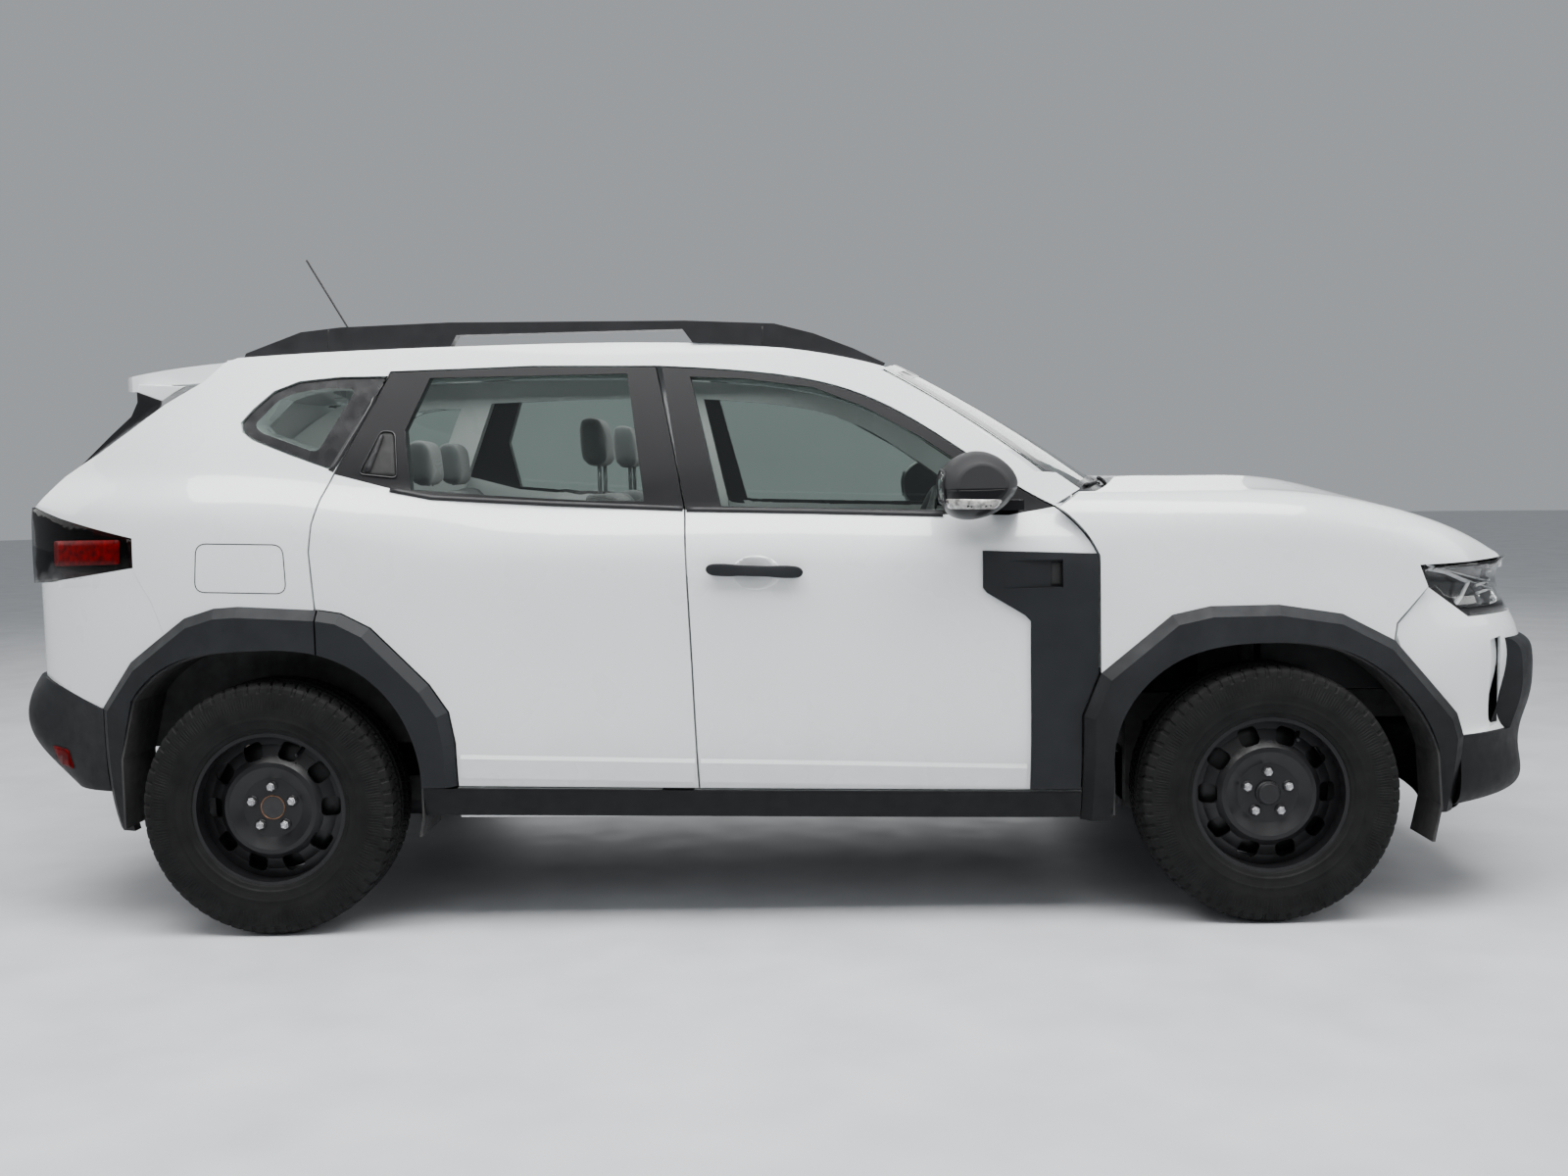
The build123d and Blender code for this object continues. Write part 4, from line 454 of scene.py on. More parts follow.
def tyre(name, node, body):
    low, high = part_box(node)
    centre = (low + high) / 2
    radius = (high.z - low.z) / 2
    half = (high.y - low.y) / 2
    flank = [(share * half, BEAD_RADIUS + rise) for share, rise in FLANK]
    flank += [(share * half, radius - drop) for share, drop in SHOULDER]
    crown = [(y, radius - 0.0065 * (y / TREAD_HALF) ** 4) for y in np.linspace(0.0855, -0.0855, 41)]
    profile = flank + crown + [(-y, r) for y, r in flank[::-1]]
    across = np.array([p[0] for p in profile])
    reach = np.array([p[1] for p in profile])
    turn = np.linspace(0, 2 * np.pi, TYRE_ROUND, endpoint=False)
    grid_a, grid_t = np.meshgrid(across, turn)
    grid_r = np.tile(reach, (TYRE_ROUND, 1))
    tread = grid_r > radius - TREAD_DEPTH
    grid_r = grid_r - tread * tread_drop(grid_a, grid_t)
    lug = (~tread) & (grid_r > radius - 0.028)
    notch = ((grid_t * TYRE_PITCHES / (2 * np.pi) + 0.7) % 1.0) < 0.25
    grid_a = grid_a - np.sign(grid_a) * lug * 0.003 * notch
    fine = (np.abs(grid_r - 0.292) < 0.010) & (~tread)
    grid_a = grid_a + np.sign(grid_a) * fine * 0.0006 * np.sign(np.sin(grid_t * 240))
    reach_x = centre.x + grid_r * np.cos(grid_t)
    reach_z = centre.z + grid_r * np.sin(grid_t)
    points = np.stack([reach_x, centre.y + grid_a, reach_z], -1)
    faces = band_faces(TYRE_ROUND, len(profile))
    made = mesh_piece(name, points.reshape(-1, 3), faces, RUBBER, body, smooth=False)
    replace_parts(made, node)
    return made


for end in ENDS:
    for word, _ in SIDES:
        tyre(f"{end}_tyre_detail_{word}", f"{end}_tyre_{word}", f"{end}_wheel_{word}")


# Rays through the photograph, so that details land on the surface that carries them
CAMERA_SPOT = Vector((0.13251, -4.97646, 1.2))
CAMERA_TURN = (-0.023616, -0.070118, -0.019575)
PHOTO_WIDE = 1600
PHOTO_TALL = 1200
FOCAL = 1600
SENSOR = 36.0


def camera_axes():
    yaw, pitch, roll = CAMERA_TURN
    ahead = Vector((math.sin(yaw) * math.cos(pitch), math.cos(yaw) * math.cos(pitch), math.sin(pitch)))
    right = Vector((math.cos(yaw), -math.sin(yaw), 0))
    up = right.cross(ahead)
    across = right * math.cos(roll) + up * math.sin(roll)
    return across, up * math.cos(roll) - right * math.sin(roll), ahead


def photo_ray(u, v, side):
    right, up, ahead = camera_axes()
    way = ahead + right * ((u - PHOTO_WIDE / 2) / FOCAL) + up * ((PHOTO_TALL / 2 - v) / FOCAL)
    start = CAMERA_SPOT.copy()
    if side > 0:
        start.y = -start.y
        way.y = -way.y
    return start, way


def side_ray(x, z, side):
    return Vector((x, side * 1.6, z)), Vector((0, -side, 0))


def front_ray(y, z, side):
    return Vector((2.8, -side * y, z)), Vector((-1, 0, 0))


def rear_ray(y, z, side):
    return Vector((-2.8, -side * y, z)), Vector((1, 0, 0))


def mirror_ray(y, z, side):
    # Forward from behind the door mirrors
    return Vector((0.2, side * y, z)), Vector((1, 0, 0))


def trace(tree, outline, ray, side, lift=0.0, step=6.0, closed=False):
    # Places along an outline on a surface, with the outward directions there
    ends = outline + outline[:1] if closed else outline
    path = []
    outs = []
    for (u0, v0), (u1, v1) in zip(ends, ends[1:]):
        count = max(1, round(math.hypot(u1 - u0, v1 - v0) / step))
        for i in range(count + 1):
            if i == count and (closed or (u1, v1) != outline[-1]):
                continue
            t = i / count
            spot, out = cast(tree, *ray(u0 + t * (u1 - u0), v0 + t * (v1 - v0), side))
            path.append(spot + out * lift)
            outs.append(out)
    return path, outs


def skinned(name, points, width, material, body, closed=False):
    # Faces over rings of points, with flat ends on an open run
    count = len(points) // width
    faces = []
    for i in range(count if closed else count - 1):
        j = (i + 1) % count
        for k in range(width):
            m = (k + 1) % width
            faces.append((i * width + k, i * width + m, j * width + m, j * width + k))
    if not closed:
        faces.append(tuple(range(width)))
        faces.append(tuple((count - 1) * width + k for k in range(width)))
    shape = bmesh.new()
    corners = [shape.verts.new(p) for p in points]
    for face in faces:
        shape.faces.new([corners[i] for i in face])
    return bmesh_piece(name, shape, material, body)


def sweep(name, path, outs, section, material, body, closed=False):
    # A section of (across, out) points carried along a path
    count = len(path)
    points = []
    for i in range(count):
        before = path[i - 1] if closed or i else path[i]
        after = path[(i + 1) % count] if closed or i < count - 1 else path[i]
        across = (after - before).normalized().cross(outs[i]).normalized()
        points += [path[i] + across * a + outs[i] * o for a, o in section]
    return skinned(name, points, len(section), material, body, closed)


def strip(name, tree, outline, ray, side, step, section, material, body, lift=0.0, closed=False):
    # A section carried along an outline on a surface
    path, outs = trace(tree, outline, ray, side, lift, step, closed)
    return sweep(name, path, outs, section, material, body, closed)


def bar(width, height, sink=0.002):
    # Section of a low moulding with eased edges
    w = width / 2
    ease = 0.55 * height
    return [(-w, -sink), (-w, ease), (-0.7 * w, height), (0.7 * w, height), (w, ease), (w, -sink)]


def tube(radius, sides=10, lift=0.0):
    turns = [2 * math.pi * i / sides for i in range(sides)]
    return [(radius * math.cos(t), lift + radius * math.sin(t)) for t in turns]


def patch(name, tree, outline, ray, side, lift, thick, material, body, cell=8.0):
    # A sheet cut to an outline and laid on a surface
    shape = bmesh.new()
    shape.faces.new([shape.verts.new((u, v, 0)) for u, v in outline])
    for axis in (0, 1):
        values = [p[axis] for p in outline]
        normal = (1, 0, 0) if axis == 0 else (0, 1, 0)
        count = max(1, round((max(values) - min(values)) / cell))
        for i in range(1, count):
            at = [0, 0, 0]
            at[axis] = min(values) + (max(values) - min(values)) * i / count
            geom = shape.verts[:] + shape.edges[:] + shape.faces[:]
            bmesh.ops.bisect_plane(shape, geom=geom, plane_co=at, plane_no=normal)
    facing = Vector()
    for corner in shape.verts:
        spot, out = cast(tree, *ray(corner.co.x, corner.co.y, side))
        facing += out
        corner.co = spot + out * lift
    return thickened(bmesh_piece(name, shape, material, body), facing, thick)


def softened(outline, radius, steps=4):
    # An outline with rounded corners
    points = []
    count = len(outline)
    for i in range(count):
        here = Vector(outline[i])
        before = Vector(outline[i - 1]) - here
        after = Vector(outline[(i + 1) % count]) - here
        reach = min(radius, 0.45 * before.length, 0.45 * after.length)
        start = here + before.normalized() * reach
        end = here + after.normalized() * reach
        for k in range(steps + 1):
            t = k / steps
            spot = start * (1 - t) ** 2 + here * (2 * t * (1 - t)) + end * t ** 2
            points.append((spot.x, spot.y))
    return points


def turned(shape, profile, centre, axis, sides=24, twist=0.0):
    # A shape turned about an axis from (radius, along) points
    axis = Vector(axis).normalized()
    first = axis.orthogonal().normalized()
    second = axis.cross(first)
    rings = []
    for radius, along in profile:
        ring = []
        for i in range(sides):
            t = twist + 2 * math.pi * i / sides
            arm = first * math.cos(t) + second * math.sin(t)
            ring.append(shape.verts.new(Vector(centre) + axis * along + arm * max(radius, 1e-5)))
        rings.append(ring)
    for low, high in zip(rings, rings[1:]):
        for i in range(sides):
            j = (i + 1) % sides
            shape.faces.new((low[i], low[j], high[j], high[i]))
    shape.faces.new(rings[0])
    shape.faces.new(rings[-1])


def cube(shape, size, matrix):
    made = bmesh.ops.create_cube(shape, size=1.0)["verts"]
    bmesh.ops.scale(shape, vec=size, verts=made)
    bmesh.ops.transform(shape, matrix=matrix, verts=made)


def spun(name, profile, centre, axis, sides, material, body):
    shape = bmesh.new()
    turned(shape, profile, centre, axis, sides)
    return bmesh_piece(name, shape, material, body)


# Wheel bolts, caps, valves and balance weights
BOLT_CIRCLE = 0.05715
BOLTS = 5
NUT = [(0.0118, 0.001), (0.0118, 0.012), (0.0105, 0.0135)]
NUT_END = [(0.0085, 0.012), (0.0085, 0.0165), (0.0075, 0.018), (0.0055, 0.018), (0.005, 0.0155)]
CAP = [(0.0325, -0.004), (0.0325, 0.006), (0.031, 0.008), (0.029, 0.0085), (0.0285, 0.016), (0.0265, 0.0185),
       (0.022, 0.0195), (0.0195, 0.0185), (0.008, 0.0188), (0.0, 0.019)]
BARE_HUB = [(0.0326, -0.010), (0.0326, 0.0015), (0.0318, 0.002), (0.0305, 0.0005), (0.0295, -0.004),
            (0.022, -0.006), (0.0, -0.0065)]
VALVE = [(0.0065, -0.004), (0.006, 0.004), (0.0045, 0.008), (0.004, 0.024), (0.0047, 0.025), (0.0047, 0.034),
         (0.0038, 0.0355)]
WEIGHT_STEP = 3.4


def wheel_details(end, word, side):
    rim = surface(f"{end}_rim_{word}")
    centre = centre_of(f"{end}_rim_{word}")
    body = f"{end}_wheel_{word}"
    out = Vector((0, side, 0))

    def on_rim(radius, degrees):
        t = math.radians(degrees)
        start = Vector((centre.x + radius * math.cos(t), side * 1.4, centre.z + radius * math.sin(t)))
        return cast(rim, start, -out)

    phase = 90 if end == "rear" else 18
    bolts = bmesh.new()
    seats = bmesh.new()
    for i in range(BOLTS):
        spot, _ = on_rim(BOLT_CIRCLE, phase + 360 / BOLTS * i)
        turned(seats, [(0.0155, -0.002), (0.0155, 0.001), (0.0125, 0.003)], spot, out, 20)
        turned(bolts, NUT, spot, out, 6, 0.3 * i)
        turned(bolts, NUT_END, spot, out, 16)
    rounded(bmesh_piece(f"{end}_bolts_{word}", bolts, METAL, body, smooth=False), 0.0006)
    bmesh_piece(f"{end}_bolt_seats_{word}", seats, STEEL, body)
    spot, _ = on_rim(0.045, phase + 36)
    middle = Vector((centre.x, spot.y, centre.z))
    if end == "front":
        spun(f"front_cap_{word}", CAP, middle, out, 48, BLACK, body)
    else:
        spun(f"rear_hub_{word}", BARE_HUB, middle, out, 48, RUST, body)
    spot, _ = on_rim(0.176, 62)
    spun(f"{end}_valve_{word}", VALVE, spot, out * 0.9 + Vector((-0.25, 0, -0.4)), 14, BLACK, body)
    weight = bmesh.new()
    at = 104 if end == "front" else 35
    for i in range(3 if end == "front" else 1):
        spot, _ = on_rim(0.2145, at - WEIGHT_STEP * i)
        around = math.radians(at - WEIGHT_STEP * i)
        turn = Matrix((Vector((-math.sin(around), 0, math.cos(around))), out,
                       Vector((math.cos(around), 0, math.sin(around))))).transposed().to_4x4()
        cube(weight, (0.011, 0.005, 0.009), Matrix.Translation(spot + out * 0.002) @ turn)
    rounded(bmesh_piece(f"{end}_balance_{word}", weight, METAL, body), 0.0012)


# Dished plate behind each wheel, on the part that does not spin
SHIELD_Y = 0.798
SHIELD = [(0.075, 0.0), (0.135, 0.0), (0.150, -0.006), (0.172, -0.006), (0.178, -0.014), (0.175, -0.014),
          (0.170, -0.009), (0.148, -0.009), (0.133, -0.003), (0.075, -0.003), (0.075, 0.0)]


def brake_shield(end, word, side):
    centre = centre_of(f"{end}_rim_{word}")
    centre.y = side * SHIELD_Y
    body = f"knuckle_{word}" if end == "front" else "body"
    spun(f"{end}_brake_shield_{word}", SHIELD, centre, (0, side, 0), 48, STEEL, body)


for end in ENDS:
    for word, side in SIDES:
        wheel_details(end, word, side)
        brake_shield(end, word, side)


# Lamps: clear cover over a hollow housing
LAMP_NEIGHBOURS = {
    "headlamps": ("bonnet", "front_wings", "grille", "front_bumper"),
    "tail_lamps": ("body_side_right", "body_side_left", "rear_bumper", "tailgate"),
}
COVER_THICK = 0.0025


def lamp_shell(node, side, depth):
    # Outer skin of one lamp solid as a cover, and the same skin pushed back as a housing
    shape = bmesh.new()
    shape.from_mesh(NODES[node].data)
    front = 1 if node == "headlamps" else -1
    around = surface(*LAMP_NEIGHBOURS[node])
    keep = set()
    for f in shape.faces:
        middle = f.calc_center_median()
        outward = 0.6 * front * f.normal.x + 0.6 * side * f.normal.y > 0.25
        hidden = around.ray_cast(middle + f.normal * 0.001, f.normal, 0.2)[0]
        if middle.y * side > 0 and outward and hidden is None:
            keep.add(f)
    bmesh.ops.delete(shape, geom=[f for f in shape.faces if f not in keep], context="FACES")
    bmesh.ops.remove_doubles(shape, verts=shape.verts, dist=0.0004)
    shape.normal_update()
    housing = shape.copy()
    made = bmesh.ops.extrude_face_region(housing, geom=housing.faces[:])
    back = {g for g in made["geom"] if isinstance(g, bmesh.types.BMVert)}
    inward = Vector((-0.8 * front, -0.6 * side, 0))
    for v in back:
        v.co += inward * depth
    first = [f for f in housing.faces if not any(v in back for v in f.verts)]
    bmesh.ops.delete(housing, geom=first, context="FACES")
    return shape, housing


def covered_lamp(node, word, side, depth, lens):
    shape, housing = lamp_shell(node, side, depth)
    cover = bmesh_piece(f"{node}_cover_{word}", shape, lens, "body")
    thickened(cover, Vector((0, side, 0)), COVER_THICK)
    bmesh_piece(f"{node}_housing_{word}", housing, GLOSS, "body")
    return cover


HEAD_TREE = surface("headlamps")
TAIL_TREE = surface("tail_lamps")
HEAD_DEEP = 0.040
TAIL_DEEP = 0.024
GUIDE_LIFT = -0.016
GUIDES = (("upper", [(1456, 580), (1480, 585), (1503, 594)], 0.011),
          ("lower", [(1503, 594), (1496, 607), (1487, 620)], 0.011),
          ("long", [(1511, 597), (1524, 593), (1537, 589)], 0.008),
          ("short", [(1512, 604), (1522, 601), (1533, 597)], 0.008))
EYE_RING = [(0.031, -0.036), (0.031, -0.016), (0.029, -0.012), (0.0265, -0.013), (0.0255, -0.026)]
EYE_LENS = [(0.0255, -0.030), (0.0255, -0.022), (0.021, -0.015), (0.013, -0.0115), (0.0, -0.010)]
EYE_Z = 0.836
RED_OUTLINE = softened([(55, 552), (122, 551), (121.5, 576), (56, 578)], 3)
# Printed and shadow layers lie just off the surface
FILM_LIFT = 0.0006
FILM_THICK = 0.0004
for word, side in SIDES:
    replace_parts(covered_lamp("headlamps", word, side, HEAD_DEEP, CLEAR), "headlamps")
    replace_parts(covered_lamp("tail_lamps", word, side, TAIL_DEEP, SMOKED), "tail_lamps")
    for label, points, wide in GUIDES:
        strip(f"head_guide_{label}_{word}", HEAD_TREE, points, photo_ray, side, 4, tube(wide / 2), LIGHT_BAR,
              "body", GUIDE_LIFT)
    for label, level in (("long", 0.902), ("short", 0.880)):
        points = [(-0.62, level), (-0.45, level - 0.002)]
        strip(f"head_front_{label}_{word}", HEAD_TREE, points, front_ray, -side, 0.02, tube(0.0042), LIGHT_BAR,
              "body", GUIDE_LIFT)
    for index, across in enumerate((-0.575, -0.49)):
        spot, out = cast(HEAD_TREE, *front_ray(across, EYE_Z, -side))
        for label, profile, look in (("ring", EYE_RING, CHROME), ("eye", EYE_LENS, CLEAR)):
            spun(f"head_{label}_{index}_{word}", profile, spot, out, 40, look, "body")
    patch(f"tail_red_{word}", TAIL_TREE, RED_OUTLINE, photo_ray, side, FILM_LIFT, 0.004, RED_BLOCK, "body", 6)

# Trim on the sides
CREASE = [(0.005, -0.001), (0.005, 0.0002), (-0.005, 0.0058), (-0.028, 0.0034), (-0.060, 0.0002),
          (-0.060, -0.001)]
GROOVE = [(-0.0014, -0.001), (-0.0014, 0.0003), (0.0014, 0.0003), (0.0014, -0.001)]
LID = softened([(199.5, 555), (288, 556), (292, 606), (198.5, 604.5)], 11, 6)
strip("fuel_lid_line", surface("body_side_right"), LID, photo_ray, -1, 4, GROOVE, SHADOW, "body", closed=True)


def band(name, tree, outer, inner, ray, side, lift, material, body, count=120):
    # A flat border between two outlines, laid on a surface
    def even(outline):
        ends = np.array(outline + outline[:1])
        sizes = np.hypot(*np.diff(ends, axis=0).T)
        reach = np.concatenate([[0.0], np.cumsum(sizes)])
        at = reach[-1] * np.arange(count) / count
        return [(float(np.interp(a, reach, ends[:, 0])), float(np.interp(a, reach, ends[:, 1]))) for a in at]

    points = []
    for (u0, v0), (u1, v1) in zip(even(outer), even(inner)):
        for t in (0.0, 0.5, 1.0):
            spot, out = cast(tree, *ray(u0 + t * (u1 - u0), v0 + t * (v1 - v0), side))
            points.append(spot + out * lift)
    return mesh_piece(name, points, band_faces(count, 3), material, body)


HANDLE_X = (-0.168, 0.086)
HANDLE_Z = (0.965, 0.953)
HANDLE_HALF = 0.0165
HANDLE_PROUD = 0.004
HANDLE_DEEP = 0.012


def handle(word, side):
    # Soft-edged grip around the plain bar of the front door
    tree = surface(f"front_door_trim_{word}")
    stations = 28
    around = 20
    points = []
    for i in range(stations + 1):
        t = -math.cos(math.pi * i / stations)
        x = sum(HANDLE_X) / 2 + t * (HANDLE_X[1] - HANDLE_X[0]) / 2
        level = sum(HANDLE_Z) / 2 + t * (HANDLE_Z[1] - HANDLE_Z[0]) / 2
        inside = max(HANDLE_X[0] + 0.018, min(HANDLE_X[1] - 0.018, x))
        face, _ = cast(tree, *side_ray(inside, level, side))
        size = max(0.02, (1 - abs(t) ** 12)) ** 0.5
        waist = 1 - 0.14 * math.exp(-(t / 0.45) ** 6)
        for k in range(around):
            a = 2 * math.pi * k / around
            c = math.copysign(abs(math.cos(a)) ** 0.6, math.cos(a))
            d = math.copysign(abs(math.sin(a)) ** 0.6, math.sin(a))
            out = HANDLE_PROUD if d > 0 else HANDLE_DEEP
            points.append((x, face.y + side * d * out * size, level + c * HANDLE_HALF * size * waist))
    return skinned(f"handle_{word}", points, around, CHARCOAL, f"front_door_{word}")


QUARTER_TREE = surface("quarter_glass")
QUARTER_OUT = softened([(-1.045, 1.496), (-1.1725, 1.496), (-1.2795, 1.486), (-1.345, 1.460), (-1.396, 1.413),
                        (-1.426, 1.377), (-1.419, 1.352), (-1.390, 1.331), (-1.287, 1.289),
                        (-1.174, 1.247)], 0.02)
QUARTER_IN = softened([(-1.1265, 1.466), (-1.2155, 1.468), (-1.2905, 1.457), (-1.3325, 1.440), (-1.3935, 1.371),
                       (-1.3725, 1.349), (-1.2165, 1.291)], 0.02)
BELTS = (("front", [(700.5, 520), (830, 522), (962, 525)]),
         ("rear", [(398, 500), (440, 508), (560, 514), (697, 519.2)]))
PULL = softened([(389, 440), (403, 441), (405, 488), (366, 484)], 5)
PULL_GRIP = softened([(388, 444), (392, 444), (378, 482), (371, 482)], 2)
BOWL_EDGE = [(771.5 + 25.5 * math.cos(math.radians(t)), 584.4 + 17.7 * math.sin(math.radians(t)))
             for t in range(0, 360, 10)]
VENT_SHADOW = [(1072.5, 573), (1083.5, 573), (1083.5, 597.5), (1072.5, 597.5)]
CREASE_LINES = (("rear", [(470, 772), (590, 774), (709.5, 776)]),
                ("front", [(715, 776), (880, 778.5), (1048, 781.5)]))
MIRROR_LAMP = softened([(965, 509), (1023, 510), (1016, 519), (968, 519)], 3)
MIRROR_LINE = [(960, 501), (985, 501), (1010, 500.5), (1034, 499)]
MIRROR_FACE = softened([(0.878, 1.130), (0.985, 1.126), (0.985, 1.204), (0.878, 1.214)], 0.02)
REFLECTOR = softened([(54, 760), (70, 765), (76, 785), (63, 779)], 3)
PILLAR_LINE = [(337.5, 481), (397, 383)]
PILLAR_STRIP = [(-0.0075, -0.0005), (-0.0075, 0.0006), (0.0075, 0.0006), (0.0075, -0.0005)]
FOOT_TOP = [(48, 594.5), (90, 587.5), (134, 580), (142, 580)]
FOOT_LOW = [(48, 600.5), (90, 598), (134, 595), (142, 595)]
FOOT_LIFT = 0.0003
RAIL_SEAMS = ((335, 336, 355), (778, 333, 352))
for word, side in SIDES:
    front = f"front_door_{word}"
    rear = f"rear_door_{word}"
    front_trim = surface(f"front_door_trim_{word}")
    rear_trim = surface(f"rear_door_trim_{word}")
    band(f"quarter_border_{word}", QUARTER_TREE, QUARTER_OUT, QUARTER_IN, side_ray, side, FILM_LIFT, FRIT,
         "body")
    for end, points in BELTS:
        door = f"{end}_door_{word}"
        belt = surface(door, f"{end}_door_trim_{word}")
        strip(f"{end}_belt_{word}", belt, points, photo_ray, side, 10, bar(0.014, 0.006), BLACK, door)
    # Painted shadow: a dark sheet laid in the pull pocket
    patch(f"pull_pocket_shadow_{word}", rear_trim, PULL, photo_ray, side, FILM_LIFT, FILM_THICK, SHADOW, rear, 6)
    strip(f"pull_rim_{word}", rear_trim, PULL, photo_ray, side, 3, bar(0.004, 0.004), GLOSS, rear, closed=True)
    patch(f"pull_grip_{word}", rear_trim, PULL_GRIP, photo_ray, side, 0.006, 0.006, BLACK, rear, 6)
    patch(f"handle_bowl_{word}", surface(front), BOWL_EDGE, photo_ray, side, 0.0004, 0.0003, BOWL, front, 3)
    handle(word, side)
    # Painted shadow: a dark sheet at the deep end of the vent recess
    patch(f"vent_end_shadow_{word}", front_trim, VENT_SHADOW, photo_ray, side, FILM_LIFT, FILM_THICK, SHADOW, front, 3)
    for end, points in CREASE_LINES:
        door = f"{end}_door_{word}"
        section = [(side * h, o) for h, o in CREASE]
        crease = strip(f"{end}_crease_{word}", surface(door), points, photo_ray, side, 5, section, WHITE, door)
        crease.data.set_sharp_from_angle(angle=math.radians(12))
    patch(f"mirror_lamp_{word}", front_trim, MIRROR_LAMP, photo_ray, side, 0.002, 0.004, INDICATOR, front, 4)
    strip(f"mirror_line_{word}", front_trim, MIRROR_LINE, photo_ray, side, 3, GROOVE, SHADOW, front)
    patch(f"mirror_glass_{word}", front_trim, MIRROR_FACE, mirror_ray, side, 0.001, 0.002, MIRROR, front, 0.03)
    strip(f"mirror_rim_{word}", front_trim, MIRROR_FACE, mirror_ray, side, 0.01, bar(0.006, 0.005), BLACK,
          front, closed=True)
    patch(f"rear_reflector_{word}", surface("rear_bumper_lower"), REFLECTOR, photo_ray, side, 0.003, 0.005,
          RED_BLOCK, "body", 5)
    strip(f"pillar_strip_{word}", surface(f"body_side_{word}"), PILLAR_LINE, photo_ray, side, 6, PILLAR_STRIP,
          FRIT, "body")
    corner = surface("tail_lamps", "rear_bumper", f"body_side_{word}")
    upper, _ = trace(corner, FOOT_TOP, photo_ray, side, FOOT_LIFT, 6)
    lower, _ = trace(corner, FOOT_LOW, photo_ray, side, FOOT_LIFT, 6)
    count = len(upper)
    faces = [(i, i + 1, count + i + 1, count + i) for i in range(count - 1)]
    mesh_piece(f"lamp_foot_{word}", upper + lower, faces, WHITE, "body")
    rails = surface("roof_rails")
    for u, v0, v1 in RAIL_SEAMS:
        strip(f"rail_seam_{u}_{word}", rails, [(u, v0), (u, v1)], photo_ray, side, 4, GROOVE, SHADOW, "body")

# Printed borders of the screens and the wipers
SCREEN = surface("windscreen")
REAR_SCREEN = surface("tailgate_glass")


def screen_outline(foot, head, foot_z, head_z, bow):
    lower = [(-foot + 2 * foot * i / 8, foot_z - bow * (2 * i / 8 - 1) ** 2) for i in range(9)]
    upper = [(head - 2 * head * i / 8, head_z - bow * (2 * i / 8 - 1) ** 2) for i in range(9)]
    return lower + upper


band("screen_border", SCREEN, screen_outline(0.731, 0.609, 1.151, 1.533, 0.031),
     screen_outline(0.668, 0.560, 1.195, 1.500, 0.031), front_ray, -1, FILM_LIFT, FRIT, "body")
band("rear_screen_border", REAR_SCREEN, screen_outline(0.560, 0.50, 1.210, 1.455, 0.0),
     screen_outline(0.50, 0.44, 1.255, 1.425, 0.0), rear_ray, -1, FILM_LIFT, FRIT, "tailgate")
GLASS_SIDE = [(0.500, 1.206), (0.640, 1.206), (0.664, 1.240), (0.684, 1.285), (0.687, 1.303), (0.685, 1.370),
              (0.679, 1.434), (0.664, 1.470), (0.646, 1.490), (0.44, 1.490), (0.44, 1.430)]
FIN_Y = 0.60
FIN_HALF = 0.004
CHEEK_IN = 0.568
FIN_TOP = (-1.771, 1.475)
FIN_EDGE = [(-1.771, 1.446), (-1.790, 1.407), (-1.849, 1.356), (-1.927, 1.284), (-1.970, 1.244)]
CHEEK_LEAN = (1.434 - 1.475) / (-1.664 + 1.771)


def plate(name, outline, y0, y1, side, material, body):
    # A side outline as a plate between two distances from the middle plane
    shape = bmesh.new()
    near, far = ([shape.verts.new((x, side * y, z)) for x, z in outline] for y in (y0, y1))
    prism(shape, near, far)
    return rounded(bmesh_piece(name, shape, material, body, smooth=False), 0.002)


# Inner arch panels either side of the engine
APRON_Y = (0.498, 0.502)
APRON = [(1.38, 0.57), (1.74, 0.57), (1.74, 0.76), (1.70, 0.80), (1.42, 0.80), (1.38, 0.76)]
for word, side in SIDES:
    plate(f"apron_{word}", APRON, *APRON_Y, side, BLACK, "body")


def glass_edge(z, side):
    spot, _ = cast(REAR_SCREEN, *rear_ray(FIN_Y, z, -side))
    return (spot.x + 0.004, z)


for word, side in SIDES:
    patch(f"rear_glass_side_{word}", REAR_SCREEN, GLASS_SIDE, rear_ray, -side, FILM_LIFT, FILM_THICK, FRIT,
          "tailgate", 0.02)
    meet = [glass_edge(z, side) for z in (1.262, 1.300, 1.350, 1.400, 1.425)]
    high = glass_edge(1.450, side)
    corner = (high[0], FIN_TOP[1] + CHEEK_LEAN * (high[0] - FIN_TOP[0]))
    fin = [FIN_TOP] + FIN_EDGE + meet + [corner]
    plate(f"rear_fin_{word}", fin, FIN_Y - FIN_HALF, FIN_Y + FIN_HALF, side, GLOSS, "tailgate")
    cheek = [FIN_TOP, corner] + [glass_edge(z, side) for z in (1.468, 1.488)] + [(-1.764, 1.496)]
    plate(f"spoiler_cheek_{word}", cheek, CHEEK_IN, FIN_Y + FIN_HALF, side, WHITE, "tailgate")
WIPERS = (("left", 0.62, 0.05, 1.150, 1.192, 0.66), ("right", 0.0, -0.56, 1.178, 1.160, 0.02))
PIVOT_Z = 1.138
BLADE = [(-0.006, -0.006), (-0.003, 0.004), (0.003, 0.004), (0.006, -0.006)]
BLADE_LIFT = 0.007
for label, y0, y1, z0, z1, pivot in WIPERS:
    strip(f"wiper_blade_{label}", SCREEN, [(y0, z0), (y1, z1)], front_ray, -1, 0.03, BLADE, BLACK, "body",
          BLADE_LIFT)
    middle = ((y0 + y1) / 2, (z0 + z1) / 2)
    arm = [(pivot, PIVOT_Z), ((pivot + middle[0]) / 2, 0.5 * (PIVOT_Z + middle[1])), middle]
    strip(f"wiper_arm_{label}", SCREEN, arm, front_ray, -1, 0.04, tube(0.006, 8), BLACK, "body", 0.016)
